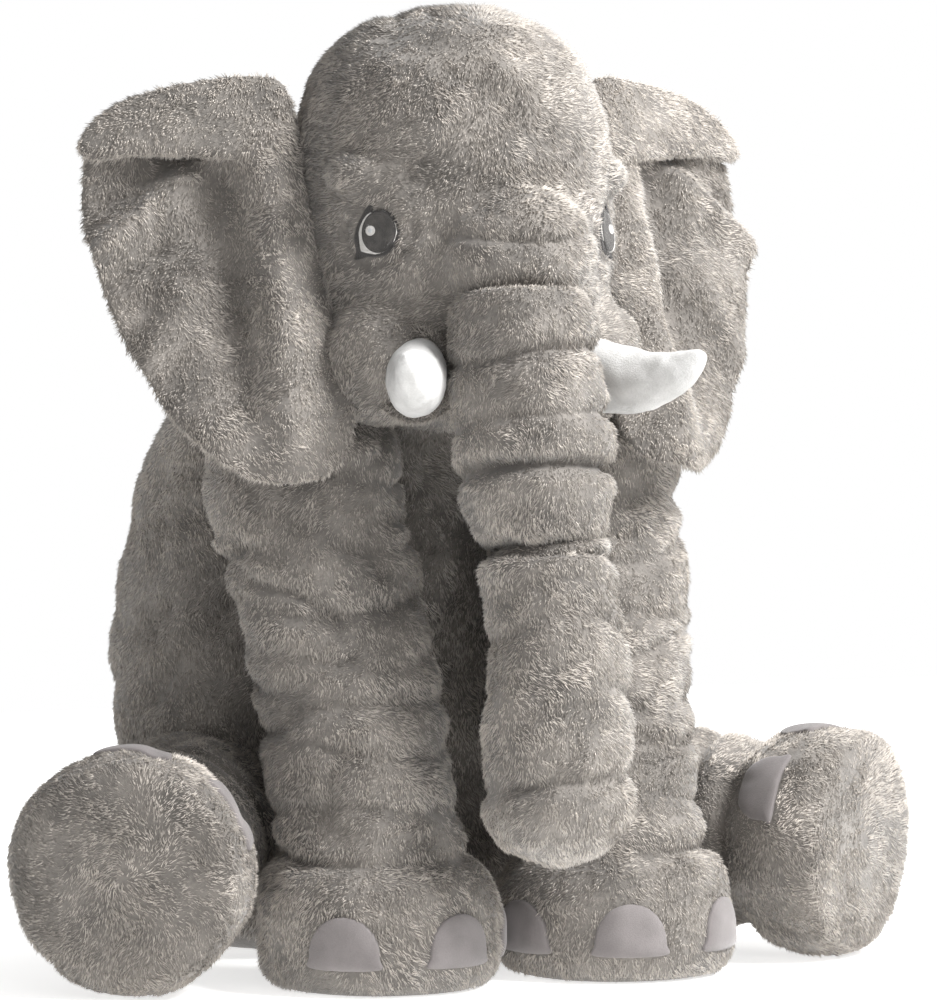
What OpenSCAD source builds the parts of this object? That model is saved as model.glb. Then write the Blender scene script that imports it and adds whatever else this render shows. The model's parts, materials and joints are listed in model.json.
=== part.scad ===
// Sitting stuffed elephant: plush skins over polyester filling, sewn at the neck, shoulders, hips, ears, trunk
// and tail.
// Millimetres, +Z up. The origin is the centre of the seat panel's underside, and the elephant faces -Y.

/* [Torso] */
// Width of the sitting torso across the hips
torso_width = 320; // [270:1:380]
// Depth of the torso from belly to back
torso_depth = 244; // [205:1:290]
// Height of the torso's top above the seat
torso_height = 412; // [345:1:490]
// How far the torso's top comes forward of the seat's centre
torso_forward = 88; // [70:1:105]
// Radius of the round seat panel
seat_r = 80; // [60:1:90]

/* [Head] */
// Width of the head across the cheeks
head_width = 206; // [175:1:245]
// Depth of the head from face to nape
head_depth = 212; // [180:1:250]
// Height of the head from chin to crown
head_height = 262; // [220:1:310]
// How far the head sinks below the torso's top
head_sink = 72; // [60:1:84]
// How far the head's centre lies forward of the seat's centre
head_forward = 150; // [140:1:165]
// Width of the gusset that runs over the head from nape to chin
gusset_width = 56; // [40:1:80]
// Height of the neck's pivot above the chin
neck_up = 45; // [35:1:55]
// Distance of the neck's pivot behind the head's centre
neck_back = 45; // [35:1:55]
// How far the head tips back, in degrees
nod_range = 12; // [6:1:14]

/* [Trunk] */
// Radius of the trunk where it leaves the face
trunk_root_r = 46; // [42:1:47]
// Radius of the trunk at its bend
trunk_mid_r = 45; // [40:1:47]
// Radius of the trunk's rounded tip
trunk_tip_r = 42; // [34:1:48]
// Length of the trunk from its root to its bend
trunk_upper_length = 162; // [135:1:180]
// Length of the trunk from its bend to the centre of its tip
trunk_lower_length = 145; // [115:1:150]
// Forward lean of the hanging trunk, in degrees
trunk_lean = 9.5; // [5:0.5:14]
// Height of the trunk's root above the chin
trunk_root_up = 85; // [75:1:100]
// How far the trunk's root stands forward of the head's centre section
trunk_proud = 6; // [0:1:12]
// How far the lower trunk curls forward, in degrees
curl_range = 45; // [20:1:60]
// Depth of the trunk's ring creases
crease_depth = 3; // [1:0.5:5]
// Distance from one ring crease to the next
crease_pitch = 30; // [22:1:45]

/* [Ears] */
// Thickness of an ear: two skins and the wadding between them
ear_t = 14; // [12:1:20]
// Thickness of the ear's folded-over top edge
ear_fold_t = 12; // [8:1:16]
// Distance of each ear's seam from the middle of the head
ear_seam_x = 104; // [90:1:128]
// Height of each ear's seam above the chin
ear_seam_up = 210; // [175:1:250]
// Distance of the seam's top behind the head's centre
ear_seam_back = 25; // [10:1:35]
// Sweep of the ears towards the back, in degrees
ear_sweep = 20; // [5:1:30]
// Forward tilt of the ears from top to bottom, in degrees
ear_tilt = 23; // [21:1:27]

/* [Tusks] */
// Radius of a tusk at its root
tusk_root_r = 21; // [16:1:25]
// Radius of a tusk at its tip
tusk_tip_r = 9; // [6:1:13]
// Straight distance from a tusk's root to its tip
tusk_length = 92; // [75:1:112]
// Distance of each tusk's root from the middle of the face
tusk_x = 60; // [60:1:70]
// Height of each tusk's root above the chin
tusk_up = 42; // [38:1:52]
// Width of the plush collar around a tusk's root
collar_w = 6; // [4:1:8]

/* [Eyes] */
// Height of the eyes above the chin
eye_up = 122; // [110:1:135]
// Angle of each eye around the head from the middle of the face
eye_angle = 48; // [42:1:54]
// Width of the embroidered eye
eye_w = 31; // [26:1:38]
// Height of the embroidered eye
eye_h = 25; // [20:1:30]
// Radius of the iris
iris_r = 10.5; // [8:0.5:12]
// Thickness of the embroidery
thread_t = 1.2; // [0.8:0.1:2]

/* [Forelegs] */
// Distance of each shoulder's pivot from the middle
shoulder_x = 96; // [88:1:106]
// Height of the shoulders' pivots above the seat
shoulder_z = 295; // [255:1:325]
// How far the shoulders' pivots lie inside the chest
shoulder_sink = 6; // [2:1:12]
// Radius of a foreleg at the shoulder
foreleg_r = 62; // [54:1:66]
// Radius of a foreleg at the ankle
foreleg_ankle_r = 57; // [50:1:60]
// Distance of each forefoot from the middle
forefoot_x = 81; // [78:1:90]
// How far the forefeet stand forward of the seat's centre
forefoot_forward = 224; // [215:1:240]
// Radius of a forefoot
forefoot_r = 73; // [68:1:75]
// Height of a forefoot
forefoot_height = 88; // [75:1:95]

/* [Hind legs] */
// Distance of each hip's pivot from the middle
hip_x = 90; // [80:1:105]
// Height of the hips' pivots above the seat
hip_z = 85; // [78:1:95]
// Length of a hind leg from the hip's pivot to the sole
hindleg_length = 288; // [265:1:300]
// Angle of the hind legs from straight ahead, in degrees
hindleg_splay = 35; // [34:1:45]
// Radius of a thigh
hindleg_r = 62; // [54:1:66]
// Radius of a hind foot
hindfoot_r = 74; // [66:1:76]
// Length of a hind foot from its heel crease to its sole
hindfoot_length = 66; // [55:1:72]
// How far the hind legs lift, in degrees
hindleg_range = 12; // [6:1:13]

/* [Toenails] */
// Width of a toenail
nail_w = 43; // [36:1:48]
// Height of a toenail
nail_h = 32; // [26:1:36]
// Thickness of a toenail's felt
nail_t = 1.5; // [1:0.5:3]
// Height of the toenails' lower edge above the sole
nail_up = 17; // [10:1:20]
// Angle between two toenails around a foot
nail_step = 59; // [42:1:60]
// How far the forefeet's toenails turn towards the middle, in degrees
toe_in = 18; // [0:1:20]

/* [Tail] */
// Length of the tail from its root to its tuft
tail_length = 82; // [60:1:100]
// Radius of the tail
tail_r = 8; // [6:1:11]
// Radius of the tail's tuft
tuft_r = 14; // [11:1:18]
// Height of the tail's root above the seat
tail_z = 150; // [125:1:180]
// Lean of the hanging tail away from the back, in degrees
tail_lean = 9; // [6:0.5:12]

/* [Fits] */
// Thickness of the plush skin
skin_t = 3; // [2:0.5:4]
// Thickness of the soles and of the seat panel
sole_t = 3; // [2:0.5:5]
// How far the soles and the seat panel stand proud of the skins around them
sole_proud = 0.5; // [0.3:0.1:0.8]
// Gap between two pieces that move against each other
gap = 0.8; // [0.6:0.1:1.2]

/* [Hidden] */

pile = [0.56, 0.53, 0.50];
pile_light = [0.64, 0.61, 0.58];
wadding = [0.95, 0.95, 0.93];
felt = [0.44, 0.40, 0.41];
fleece = [0.96, 0.96, 0.94];
dark_thread = [0.18, 0.17, 0.18];
iris_thread = [0.30, 0.29, 0.30];

far = 900;
ring_sides = 24;
ball_sides = 32;
lathe_sides = 48;

// Shape rows: share of the height, of the half width, of the half depth and of the forward lean.
torso_rows = [
    [0.00, 0.66, 0.70, 0.00], [0.06, 0.89, 0.92, 0.00], [0.17, 0.99, 1.00, 0.00],
    [0.36, 1.00, 1.00, 0.02], [0.56, 0.98, 0.94, 0.23], [0.73, 0.95, 0.86, 0.57],
    [0.85, 0.86, 0.78, 0.77], [0.95, 0.66, 0.61, 0.91], [1.00, 0.38, 0.34, 1.00]
];
// Shape rows of the head: the last column is the distance forward of its centre, as a share of its depth.
head_rows = [
    [0.00, 0.39, 0.38, 0.07], [0.06, 0.66, 0.62, 0.06], [0.17, 0.89, 0.85, 0.04],
    [0.32, 0.98, 0.96, 0.02], [0.50, 0.99, 1.00, 0.00], [0.69, 0.94, 0.94, -0.02],
    [0.76, 0.87, 0.87, -0.03], [0.87, 0.69, 0.69, -0.04], [0.95, 0.44, 0.45, -0.05],
    [1.00, 0.15, 0.15, -0.06]
];

chin_z = torso_height - head_sink;
neck = [0, neck_back - head_forward, chin_z + neck_up];
trunk_root = [0, -head_forward - head_depth / 2 - trunk_proud, chin_z + trunk_root_up];
trunk_ball_r = trunk_mid_r - 10;
torso_front = [for (r = torso_rows) [r[0] * torso_height, -r[3] * torso_forward - r[2] * torso_depth / 2]];
torso_back = [for (r = torso_rows) [r[0] * torso_height, -r[3] * torso_forward + r[2] * torso_depth / 2]];
shoulder = [shoulder_x, lookup(shoulder_z, torso_front) + shoulder_sink, shoulder_z];
ankle = [forefoot_x, -forefoot_forward, forefoot_height / 2];
hip = [hip_x, 0, hip_z];
hindleg_drop = asin((hip_z - hindfoot_r) / hindleg_length);
ear_root = [ear_seam_x, ear_seam_back - head_forward, chin_z + ear_seam_up];
tail_root = [0, lookup(tail_z, torso_back) + tail_r + gap, tail_z];
tusk_root = [tusk_x, -head_forward - head_face(tusk_x, tusk_up) - 4, chin_z + tusk_up];
tusk_turn = 32;
tusk_rise = 4;
tusk_bow = 10;
collar_top = 11;

// Depth of the head's face ahead of its centre, at a distance x from the middle and a height above the chin
function head_face(x, up) =
    let (s = up / head_height,
         w = lookup(s, [for (r = head_rows) [r[0], r[1]]]) * head_width / 2,
         d = lookup(s, [for (r = head_rows) [r[0], r[2]]]) * head_depth / 2,
         f = lookup(s, [for (r = head_rows) [r[0], r[3]]]) * head_depth)
    f + d * sqrt(max(0, 1 - pow(x / w, 2)));

// One elliptical ring of points; grow is positive outside the skin's surface and negative inside it
function ring(z, half_w, half_d, y, grow) =
    [for (i = [0:ring_sides - 1])
        let (a = i * 360 / ring_sides)
        [(half_w + grow) * cos(a), y + (half_d + grow) * sin(a), z]];
function level(share, height, grow) = -grow + share * (height + 2 * grow);
function torso_ring(r, grow) =
    ring(level(r[0], torso_height, grow), r[1] * torso_width / 2, r[2] * torso_depth / 2,
         -r[3] * torso_forward, grow);
function head_ring(r, grow) =
    ring(chin_z + level(r[0], head_height, grow), r[1] * head_width / 2, r[2] * head_depth / 2,
         -head_forward - r[3] * head_depth, grow);

// A smooth closed or open curve through points: a Catmull-Rom spline with a few steps between them
function blend_point(a, b, c, d, t) =
    (2 * b + (c - a) * t + (2 * a - 5 * b + 4 * c - d) * t * t + (3 * b - a - 3 * c + d) * t * t * t) / 2;
function closed_curve(p, steps) =
    [for (i = [0:len(p) - 1], k = [0:steps - 1])
        blend_point(p[(i + len(p) - 1) % len(p)], p[i], p[(i + 1) % len(p)], p[(i + 2) % len(p)], k / steps)];

// A profile for turning: rounded root of radius r around the start, then the given [distance, radius] rows
function limb_profile(r, rows, grow) =
    concat([[0, -(r + grow)]],
           [for (a = [-75:15:0]) [(r + grow) * cos(a), (r + grow) * sin(a)]],
           [for (q = rows) [q[1] + grow, q[0]]]);

module side(s) {
    if (s > 0) children();
    else mirror([1, 0, 0]) children();
}

// A stack of convex bands between consecutive rings
module stack(rings) {
    for (i = [0:len(rings) - 2])
        hull() polyhedron(points = concat(rings[i], rings[i + 1]),
                          faces = [[for (k = [0:ring_sides - 1]) k],
                                   [for (k = [0:ring_sides - 1]) 2 * ring_sides - 1 - k]]);
}
module torso_form(grow) stack([for (r = torso_rows) torso_ring(r, grow)]);
module head_form(grow) stack([for (r = head_rows) head_ring(r, grow)]);

// ---- torso ----
module thigh_room() {
    hull() {
        translate(hip) sphere(hindleg_r + gap, $fn = ball_sides);
        for (lift = [0, hindleg_range / 2, hindleg_range])
            hindleg_frame(lift) translate([0, 0, hindleg_length / 2])
                sphere(hindleg_r + gap, $fn = ball_sides);
    }
}
module shoulder_room() {
    hull() {
        translate(shoulder) sphere(foreleg_r + gap, $fn = ball_sides);
        translate(ankle) sphere(foreleg_ankle_r + gap, $fn = ball_sides);
    }
}
module head_room() {
    for (nod = [0, nod_range / 2, nod_range])
        translate(neck) rotate([-nod, 0, 0]) translate(-neck) head_form(gap);
}
module joint_rooms() {
    head_room();
    for (s = [-1, 1]) side(s) {
        thigh_room();
        shoulder_room();
    }
}
module floor_cut() translate([-far / 2, -far, -far + sole_proud]) cube([far, 2 * far, far]);
module torso_skin(low, high) {
    difference() {
        intersection() {
            torso_form(0);
            translate([-far / 2, low, -1]) cube([far, high - low, far]);
        }
        torso_form(-skin_t);
        translate([0, 0, -1]) cylinder(r = seat_r + 0.4, h = sole_t + 1, $fn = lathe_sides);
        floor_cut();
        joint_rooms();
    }
}
module torso_back_panel() color(pile) torso_skin(0, far / 2);
module torso_belly_panel() color(pile) torso_skin(-far / 2, 0);
module torso_seat_panel() color(pile) cylinder(r = seat_r, h = sole_t);
module torso_filling() color(wadding) difference() {
    torso_form(-skin_t);
    joint_rooms();
}

// ---- head ----
module trunk_room() {
    trunk_frame(0) {
        sphere(trunk_root_r + gap, $fn = ball_sides);
        translate([0, 0, -trunk_upper_length])
            cylinder(r = trunk_root_r + gap, h = trunk_upper_length, $fn = ball_sides);
    }
}
module ear_groove() {
    ear_frame() translate([0, 0, -far / 4]) cylinder(r = ear_t / 2 + gap, h = far / 2, $fn = ball_sides);
}
module tusk_room() {
    tusk_frame() translate([0, 0, -tusk_root_r])
        cylinder(r = tusk_root_r + collar_w, h = far / 4, $fn = ball_sides);
}
module head_rooms() {
    trunk_room();
    for (s = [-1, 1]) side(s) {
        ear_groove();
        tusk_room();
    }
}
module head_skin(low, high) {
    difference() {
        intersection() {
            head_form(0);
            translate([low, -far, 0]) cube([high - low, 2 * far, far]);
        }
        head_form(-skin_t);
        head_rooms();
    }
}
module head_left_cheek() color(pile) head_skin(gusset_width / 2, far / 2);
module head_right_cheek() color(pile) head_skin(-far / 2, -gusset_width / 2);
module head_gusset() color(pile) head_skin(-gusset_width / 2, gusset_width / 2);
module head_filling() color(wadding) difference() {
    head_form(-skin_t);
    head_rooms();
}

// ---- eyes: outlines seen from the front of the eye, x across and y up ----
module almond(w, h) {
    intersection() {
        translate([0, h * 0.25]) circle(r = w * 0.52, $fn = 36);
        translate([0, -h * 0.25]) circle(r = w * 0.52, $fn = 36);
    }
}
module lash() translate([eye_w * 0.30, eye_h * 0.34]) rotate(38) square([eye_w * 0.34, 2.4], center = true);
module eye_layer() {
    intersection() {
        difference() {
            head_form(thread_t);
            head_form(0);
        }
        translate([0, -head_forward, chin_z + eye_up]) rotate([0, 0, eye_angle]) rotate([90, 0, 0])
            linear_extrude(height = far / 4) children();
    }
}
module eye_outline() eye_layer() difference() {
    union() {
        almond(eye_w, eye_h);
        lash();
    }
    almond(eye_w - 5, eye_h - 5);
}
module eye_white() eye_layer() difference() {
    almond(eye_w - 5, eye_h - 5);
    circle(r = iris_r, $fn = 28);
}
module eye_iris() eye_layer() difference() {
    intersection() {
        circle(r = iris_r, $fn = 28);
        almond(eye_w - 5, eye_h - 5);
    }
    translate([-iris_r * 0.36, iris_r * 0.32]) circle(r = 2.6, $fn = 16);
}
module eye_glint() eye_layer() translate([-iris_r * 0.36, iris_r * 0.32]) circle(r = 2.6, $fn = 16);

// ---- tusks: root at the frame's origin, tip along +Z ----
module tusk_frame() {
    translate(tusk_root) rotate([0, 0, tusk_turn]) rotate([90 + tusk_rise, 0, 0]) children();
}
function tusk_point(t) = [0, -tusk_bow * 6.75 * t * t * (1 - t), tusk_length * t];
function tusk_radius(t) = tusk_root_r + (tusk_tip_r - tusk_root_r) * pow(t, 1.3);
module tusk_form(grow) {
    steps = 8;
    for (i = [0:steps - 1])
        hull() for (t = [i / steps, (i + 1) / steps])
            translate(tusk_point(t)) sphere(tusk_radius(t) + grow, $fn = 16);
}
module tusk_root_cut() translate([-far / 2, -far / 2, -far - tusk_root_r / 2]) cube(far);
module tusk_cover() tusk_frame() difference() {
    tusk_form(0);
    tusk_form(-skin_t);
    tusk_root_cut();
}
module tusk_filling() tusk_frame() difference() {
    tusk_form(-skin_t);
    tusk_root_cut();
}
// The collar is a chamfered ring, pressed flat where it meets the trunk
module tusk_collar() {
    inner = tusk_root_r + 0.3;
    outer = tusk_root_r + collar_w - 0.3;
    bevel = collar_w / 3;
    difference() {
        tusk_frame() rotate_extrude() polygon([
            [inner, 2 - tusk_root_r], [outer, 2 - tusk_root_r], [outer, collar_top - bevel],
            [outer - bevel, collar_top], [inner + bevel, collar_top], [inner, collar_top - bevel]]);
        translate([-far, -far, 0]) cube([far + trunk_root_r + gap, far, far]);
    }
}

// ---- ears: seam at the frame's origin, hanging along -Z, spreading along +X, front towards -Y ----
module ear_frame() translate(ear_root) rotate([-ear_tilt, 0, 0]) rotate([0, 0, ear_sweep]) children();
ear_points = [
    [0, 0], [45, 6], [95, 2], [126, -22], [134, -70], [126, -125], [112, -175], [92, -218],
    [60, -250], [30, -260], [4, -245], [-8, -215], [-3, -178], [0, -150], [0, -75]
];
fold_points = [[0, 2], [45, 8], [95, 4], [128, -22], [104, -30], [52, -46], [0, -52]];
module ear_slab(front, back, outline) {
    rotate([90, 0, 0]) translate([0, 0, -back]) linear_extrude(height = back - front) polygon(outline);
}
module ear_panel(front, back) ear_slab(front, back, closed_curve(ear_points, 3));
module ear_front_panel() ear_frame() ear_panel(-ear_t / 2, -ear_t / 2 + skin_t);
module ear_wadding() ear_frame() ear_panel(-ear_t / 2 + skin_t, ear_t / 2 - skin_t);
module ear_back_panel() ear_frame() union() {
    ear_panel(ear_t / 2 - skin_t, ear_t / 2);
    ear_slab(-ear_t / 2 - ear_fold_t, -ear_t / 2, closed_curve(fold_points, 3));
    difference() {
        translate([0, 0, skin_t]) ear_slab(-ear_t / 2 - ear_fold_t, ear_t / 2, closed_curve(ear_points, 3));
        ear_slab(-far, far, closed_curve(ear_points, 3));
        translate([-far / 2, -far / 2, -far - 12]) cube(far);
    }
}

// ---- trunk: root at the frame's origin, hanging along -Z ----
module trunk_frame(along) {
    translate(trunk_root) rotate([-trunk_lean, 0, 0]) translate([0, 0, -along]) children();
}
function trunk_radius(d) =
    d < trunk_upper_length
        ? trunk_root_r + (trunk_mid_r - trunk_root_r) * d / trunk_upper_length
        : trunk_mid_r + (trunk_tip_r - trunk_mid_r) * (d - trunk_upper_length) / trunk_lower_length;
// Rows down the trunk with a crease at every pitch, between two distances from the root
function trunk_rows(from, to) =
    [for (i = [0:floor((to - from) / crease_pitch) * 2])
        let (d = from + i * crease_pitch / 2)
        if (d < to - 4) [trunk_radius(d) - (i % 2 == 0 ? crease_depth : 0), -d]];
module trunk_upper_form(grow) {
    rotate_extrude() polygon(concat(
        [[0, trunk_root_r + grow]],
        [for (a = [75:-15:0]) [(trunk_root_r + grow) * cos(a), (trunk_root_r + grow) * sin(a)]],
        [for (p = trunk_rows(crease_pitch, trunk_upper_length)) [p[0] + grow, p[1]]],
        [[trunk_mid_r + grow, -trunk_upper_length], [0, -trunk_upper_length]]));
}
module trunk_lower_form(grow) {
    end = trunk_upper_length + trunk_lower_length;
    rotate_extrude() polygon(concat(
        [[0, -trunk_upper_length], [trunk_mid_r + grow, -trunk_upper_length]],
        [for (p = trunk_rows(trunk_upper_length + crease_pitch, end - 8)) [p[0] + grow, p[1]]],
        [for (a = [0:-15:-75]) [(trunk_tip_r + grow) * cos(a), (trunk_tip_r + grow) * sin(a) - end]],
        [[0, -end - trunk_tip_r - grow]]));
}
// The side of the bend's plane that a piece gives up: half the curl in front, half the gap behind
module bend_cut(up) {
    translate([0, 0, -trunk_upper_length]) mirror([0, 0, up ? 1 : 0]) {
        translate([-far / 2, -gap, -gap / 2]) cube([far, far, far]);
        rotate([curl_range / 2 + 1, 0, 0]) translate([-far / 2, -far, -gap / 2]) cube([far, far, far]);
    }
}
module trunk_upper_core() difference() {
    trunk_upper_form(-skin_t);
    bend_cut(true);
    translate([0, 0, -trunk_upper_length]) sphere(trunk_ball_r + gap / 2);
}
module trunk_upper_skin() trunk_frame(0) difference() {
    trunk_upper_form(0);
    trunk_upper_form(-skin_t);
    bend_cut(true);
}
module trunk_lower_skin() trunk_frame(0) difference() {
    trunk_lower_form(0);
    trunk_lower_form(-skin_t);
    bend_cut(false);
    translate([0, 0, -trunk_upper_length - trunk_lower_length - trunk_tip_r - 1])
        cylinder(r = trunk_tip_r / 2, h = trunk_tip_r / 2);
}
module trunk_lower_filling() trunk_frame(0) union() {
    difference() {
        trunk_lower_form(-skin_t);
        bend_cut(false);
    }
    translate([0, 0, -trunk_upper_length]) sphere(trunk_ball_r);
}
module trunk_tip_pad() trunk_frame(0) intersection() {
    difference() {
        trunk_lower_form(0);
        trunk_lower_form(-skin_t);
    }
    translate([0, 0, -trunk_upper_length - trunk_lower_length - trunk_tip_r - 1])
        cylinder(r = trunk_tip_r / 2, h = trunk_tip_r / 2);
}

// ---- toenails: a flat-bottomed round-topped patch on a foot of revolution around Z ----
module nail_outline() {
    intersection() {
        translate([0, nail_up + nail_h - nail_w / 2]) circle(r = nail_w / 2);
        translate([-nail_w, nail_up]) square([2 * nail_w, nail_h]);
    }
}
module nail_prism() rotate([90, 0, 0]) linear_extrude(height = far / 4) nail_outline();

// ---- forelegs ----
forefoot_rows = [[0.00, 0.90], [0.14, 0.98], [0.34, 1.00], [0.60, 0.95], [0.82, 0.84], [0.95, 0.62]];
module forefoot_form(grow) {
    rotate_extrude() polygon(concat(
        [[0, -grow]],
        [for (q = forefoot_rows) [q[1] * forefoot_r + grow, -grow + q[0] * (forefoot_height + 2 * grow)]],
        [[0, forefoot_height + grow]]));
}
leg_run = shoulder - ankle;
foreleg_length = norm(leg_run);
foreleg_side_lean = asin(leg_run[0] / foreleg_length);
foreleg_back_lean = atan2(leg_run[1], leg_run[2]);
module foreleg_form(grow) {
    translate([forefoot_x, -forefoot_forward, 0]) forefoot_form(grow);
    translate(ankle) rotate([-foreleg_back_lean, 0, 0]) rotate([0, foreleg_side_lean, 0])
        rotate_extrude() polygon(concat(
            [[0, 0], [foreleg_ankle_r + grow, 0]],
            [for (a = [0:15:75]) [(foreleg_r + grow) * cos(a), foreleg_length + (foreleg_r + grow) * sin(a)]],
            [[0, foreleg_length + foreleg_r + grow]]));
}
module forefoot_sole_disc(extra) {
    translate([forefoot_x, -forefoot_forward, -extra]) cylinder(r = forefoot_r * 0.8, h = sole_t + extra);
}
module foreleg_skin() difference() {
    foreleg_form(0);
    foreleg_form(-skin_t);
    forefoot_sole_disc(1);
    floor_cut();
}
// The filling is packed in three wads, one above the other
module foreleg_filling() difference() {
    foreleg_form(-skin_t);
    for (level = [0.68, 1])
        translate([-far / 2, -far, level * forefoot_height]) cube([far, 2 * far, 0.3]);
}
module foreleg_sole() forefoot_sole_disc(0);
module foreleg_toenail(i) translate([forefoot_x, -forefoot_forward, 0]) intersection() {
    difference() {
        forefoot_form(nail_t);
        forefoot_form(0);
    }
    rotate([0, 0, (i - 2) * nail_step - toe_in]) nail_prism();
}

// ---- hind legs: hip at the frame's origin, sole along +Z, lifted by an angle ----
module hindleg_frame(lift) {
    translate(hip) rotate([0, 0, hindleg_splay]) rotate([90 + hindleg_drop - lift, 0, 0]) children();
}
hindfoot_start = hindleg_length - hindfoot_length;
hindleg_rows = [
    [hindfoot_start * 0.5, hindleg_r * 0.98], [hindfoot_start * 0.96, hindleg_r * 0.90],
    [hindfoot_start + hindfoot_length * 0.20, hindfoot_r * 0.93],
    [hindfoot_start + hindfoot_length * 0.42, hindfoot_r],
    [hindfoot_start + hindfoot_length * 0.75, hindfoot_r],
    [hindfoot_start + hindfoot_length * 0.93, hindfoot_r * 0.96]
];
module hindleg_form(grow) {
    rotate_extrude() polygon(concat(limb_profile(hindleg_r, hindleg_rows, grow),
        [[hindfoot_r * 0.88 + grow, hindleg_length + grow], [0, hindleg_length + grow]]));
}
module hindfoot_sole_disc(extra) {
    translate([0, 0, hindleg_length - sole_t]) cylinder(r = hindfoot_r * 0.8, h = sole_t + extra);
}
module hindleg_skin() hindleg_frame(0) difference() {
    hindleg_form(0);
    hindleg_form(-skin_t);
    hindfoot_sole_disc(1);
}
module hindleg_filling() hindleg_frame(0) difference() {
    hindleg_form(-skin_t);
    for (level = [hindfoot_start * 0.96, hindfoot_start + hindfoot_length * 0.20])
        translate([-far / 2, -far / 2, level]) cube([far, far, 0.3]);
}
module hindleg_sole() hindleg_frame(0) hindfoot_sole_disc(0);
module hindleg_toenail(i) hindleg_frame(0) intersection() {
    difference() {
        hindleg_form(nail_t);
        hindleg_form(0);
    }
    rotate([0, 0, 180 + (i - 2) * nail_step]) translate([0, 0, hindleg_length])
        mirror([0, 0, 1]) nail_prism();
}

// ---- tail: root at the frame's origin, hanging along -Z ----
module tail_frame() translate(tail_root) rotate([tail_lean, 0, 0]) children();
module tail_skin() tail_frame() rotate_extrude() polygon(concat(
    [for (a = [90:-15:0]) [tail_r * cos(a), tail_r * sin(a)]],
    [[tail_r * 0.8, -tail_length], [0, -tail_length]]));
module tail_tuft() tail_frame() rotate_extrude() polygon([
    [0, -tail_length], [tail_r * 0.8, -tail_length], [tuft_r, -tail_length - tuft_r],
    [tuft_r * 0.7, -tail_length - 2 * tuft_r], [0, -tail_length - 2.4 * tuft_r]]);

// ---- the pieces by name: left is +X ----
module eye_left_outline() color(dark_thread) side(1) eye_outline();
module eye_left_white() color(fleece) side(1) eye_white();
module eye_left_iris() color(iris_thread) side(1) eye_iris();
module eye_left_glint() color(fleece) side(1) eye_glint();
module eye_right_outline() color(dark_thread) side(-1) eye_outline();
module eye_right_white() color(fleece) side(-1) eye_white();
module eye_right_iris() color(iris_thread) side(-1) eye_iris();
module eye_right_glint() color(fleece) side(-1) eye_glint();
module tusk_left_cover() color(fleece) side(1) tusk_cover();
module tusk_left_filling() color(wadding) side(1) tusk_filling();
module tusk_left_collar() color(pile) side(1) tusk_collar();
module tusk_right_cover() color(fleece) side(-1) tusk_cover();
module tusk_right_filling() color(wadding) side(-1) tusk_filling();
module tusk_right_collar() color(pile) side(-1) tusk_collar();
module ear_left_front_panel() color(pile) side(1) ear_front_panel();
module ear_left_back_panel() color(pile_light) side(1) ear_back_panel();
module ear_left_wadding() color(wadding) side(1) ear_wadding();
module ear_right_front_panel() color(pile) side(-1) ear_front_panel();
module ear_right_back_panel() color(pile_light) side(-1) ear_back_panel();
module ear_right_wadding() color(wadding) side(-1) ear_wadding();
module trunk_upper_cover() color(pile) trunk_upper_skin();
module trunk_upper_filling() color(wadding) trunk_frame(0) trunk_upper_core();
module trunk_lower_cover() color(pile) trunk_lower_skin();
module trunk_lower_stuffing() color(wadding) trunk_lower_filling();
module trunk_nostril_pad() color(felt) trunk_tip_pad();
module foreleg_left_skin() color(pile) side(1) foreleg_skin();
module foreleg_left_filling() color(wadding) side(1) foreleg_filling();
module foreleg_left_sole() color(pile) side(1) foreleg_sole();
module foreleg_left_toenail_1() color(felt) side(1) foreleg_toenail(1);
module foreleg_left_toenail_2() color(felt) side(1) foreleg_toenail(2);
module foreleg_left_toenail_3() color(felt) side(1) foreleg_toenail(3);
module foreleg_right_skin() color(pile) side(-1) foreleg_skin();
module foreleg_right_filling() color(wadding) side(-1) foreleg_filling();
module foreleg_right_sole() color(pile) side(-1) foreleg_sole();
module foreleg_right_toenail_1() color(felt) side(-1) foreleg_toenail(1);
module foreleg_right_toenail_2() color(felt) side(-1) foreleg_toenail(2);
module foreleg_right_toenail_3() color(felt) side(-1) foreleg_toenail(3);
module hindleg_left_skin() color(pile) side(1) hindleg_skin();
module hindleg_left_filling() color(wadding) side(1) hindleg_filling();
module hindleg_left_sole() color(pile) side(1) hindleg_sole();
module hindleg_left_toenail_1() color(felt) side(1) hindleg_toenail(1);
module hindleg_left_toenail_2() color(felt) side(1) hindleg_toenail(2);
module hindleg_left_toenail_3() color(felt) side(1) hindleg_toenail(3);
module hindleg_right_skin() color(pile) side(-1) hindleg_skin();
module hindleg_right_filling() color(wadding) side(-1) hindleg_filling();
module hindleg_right_sole() color(pile) side(-1) hindleg_sole();
module hindleg_right_toenail_1() color(felt) side(-1) hindleg_toenail(1);
module hindleg_right_toenail_2() color(felt) side(-1) hindleg_toenail(2);
module hindleg_right_toenail_3() color(felt) side(-1) hindleg_toenail(3);
module tail() color(pile) tail_skin();
module tail_end_tuft() color(pile_light) tail_tuft();

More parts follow.
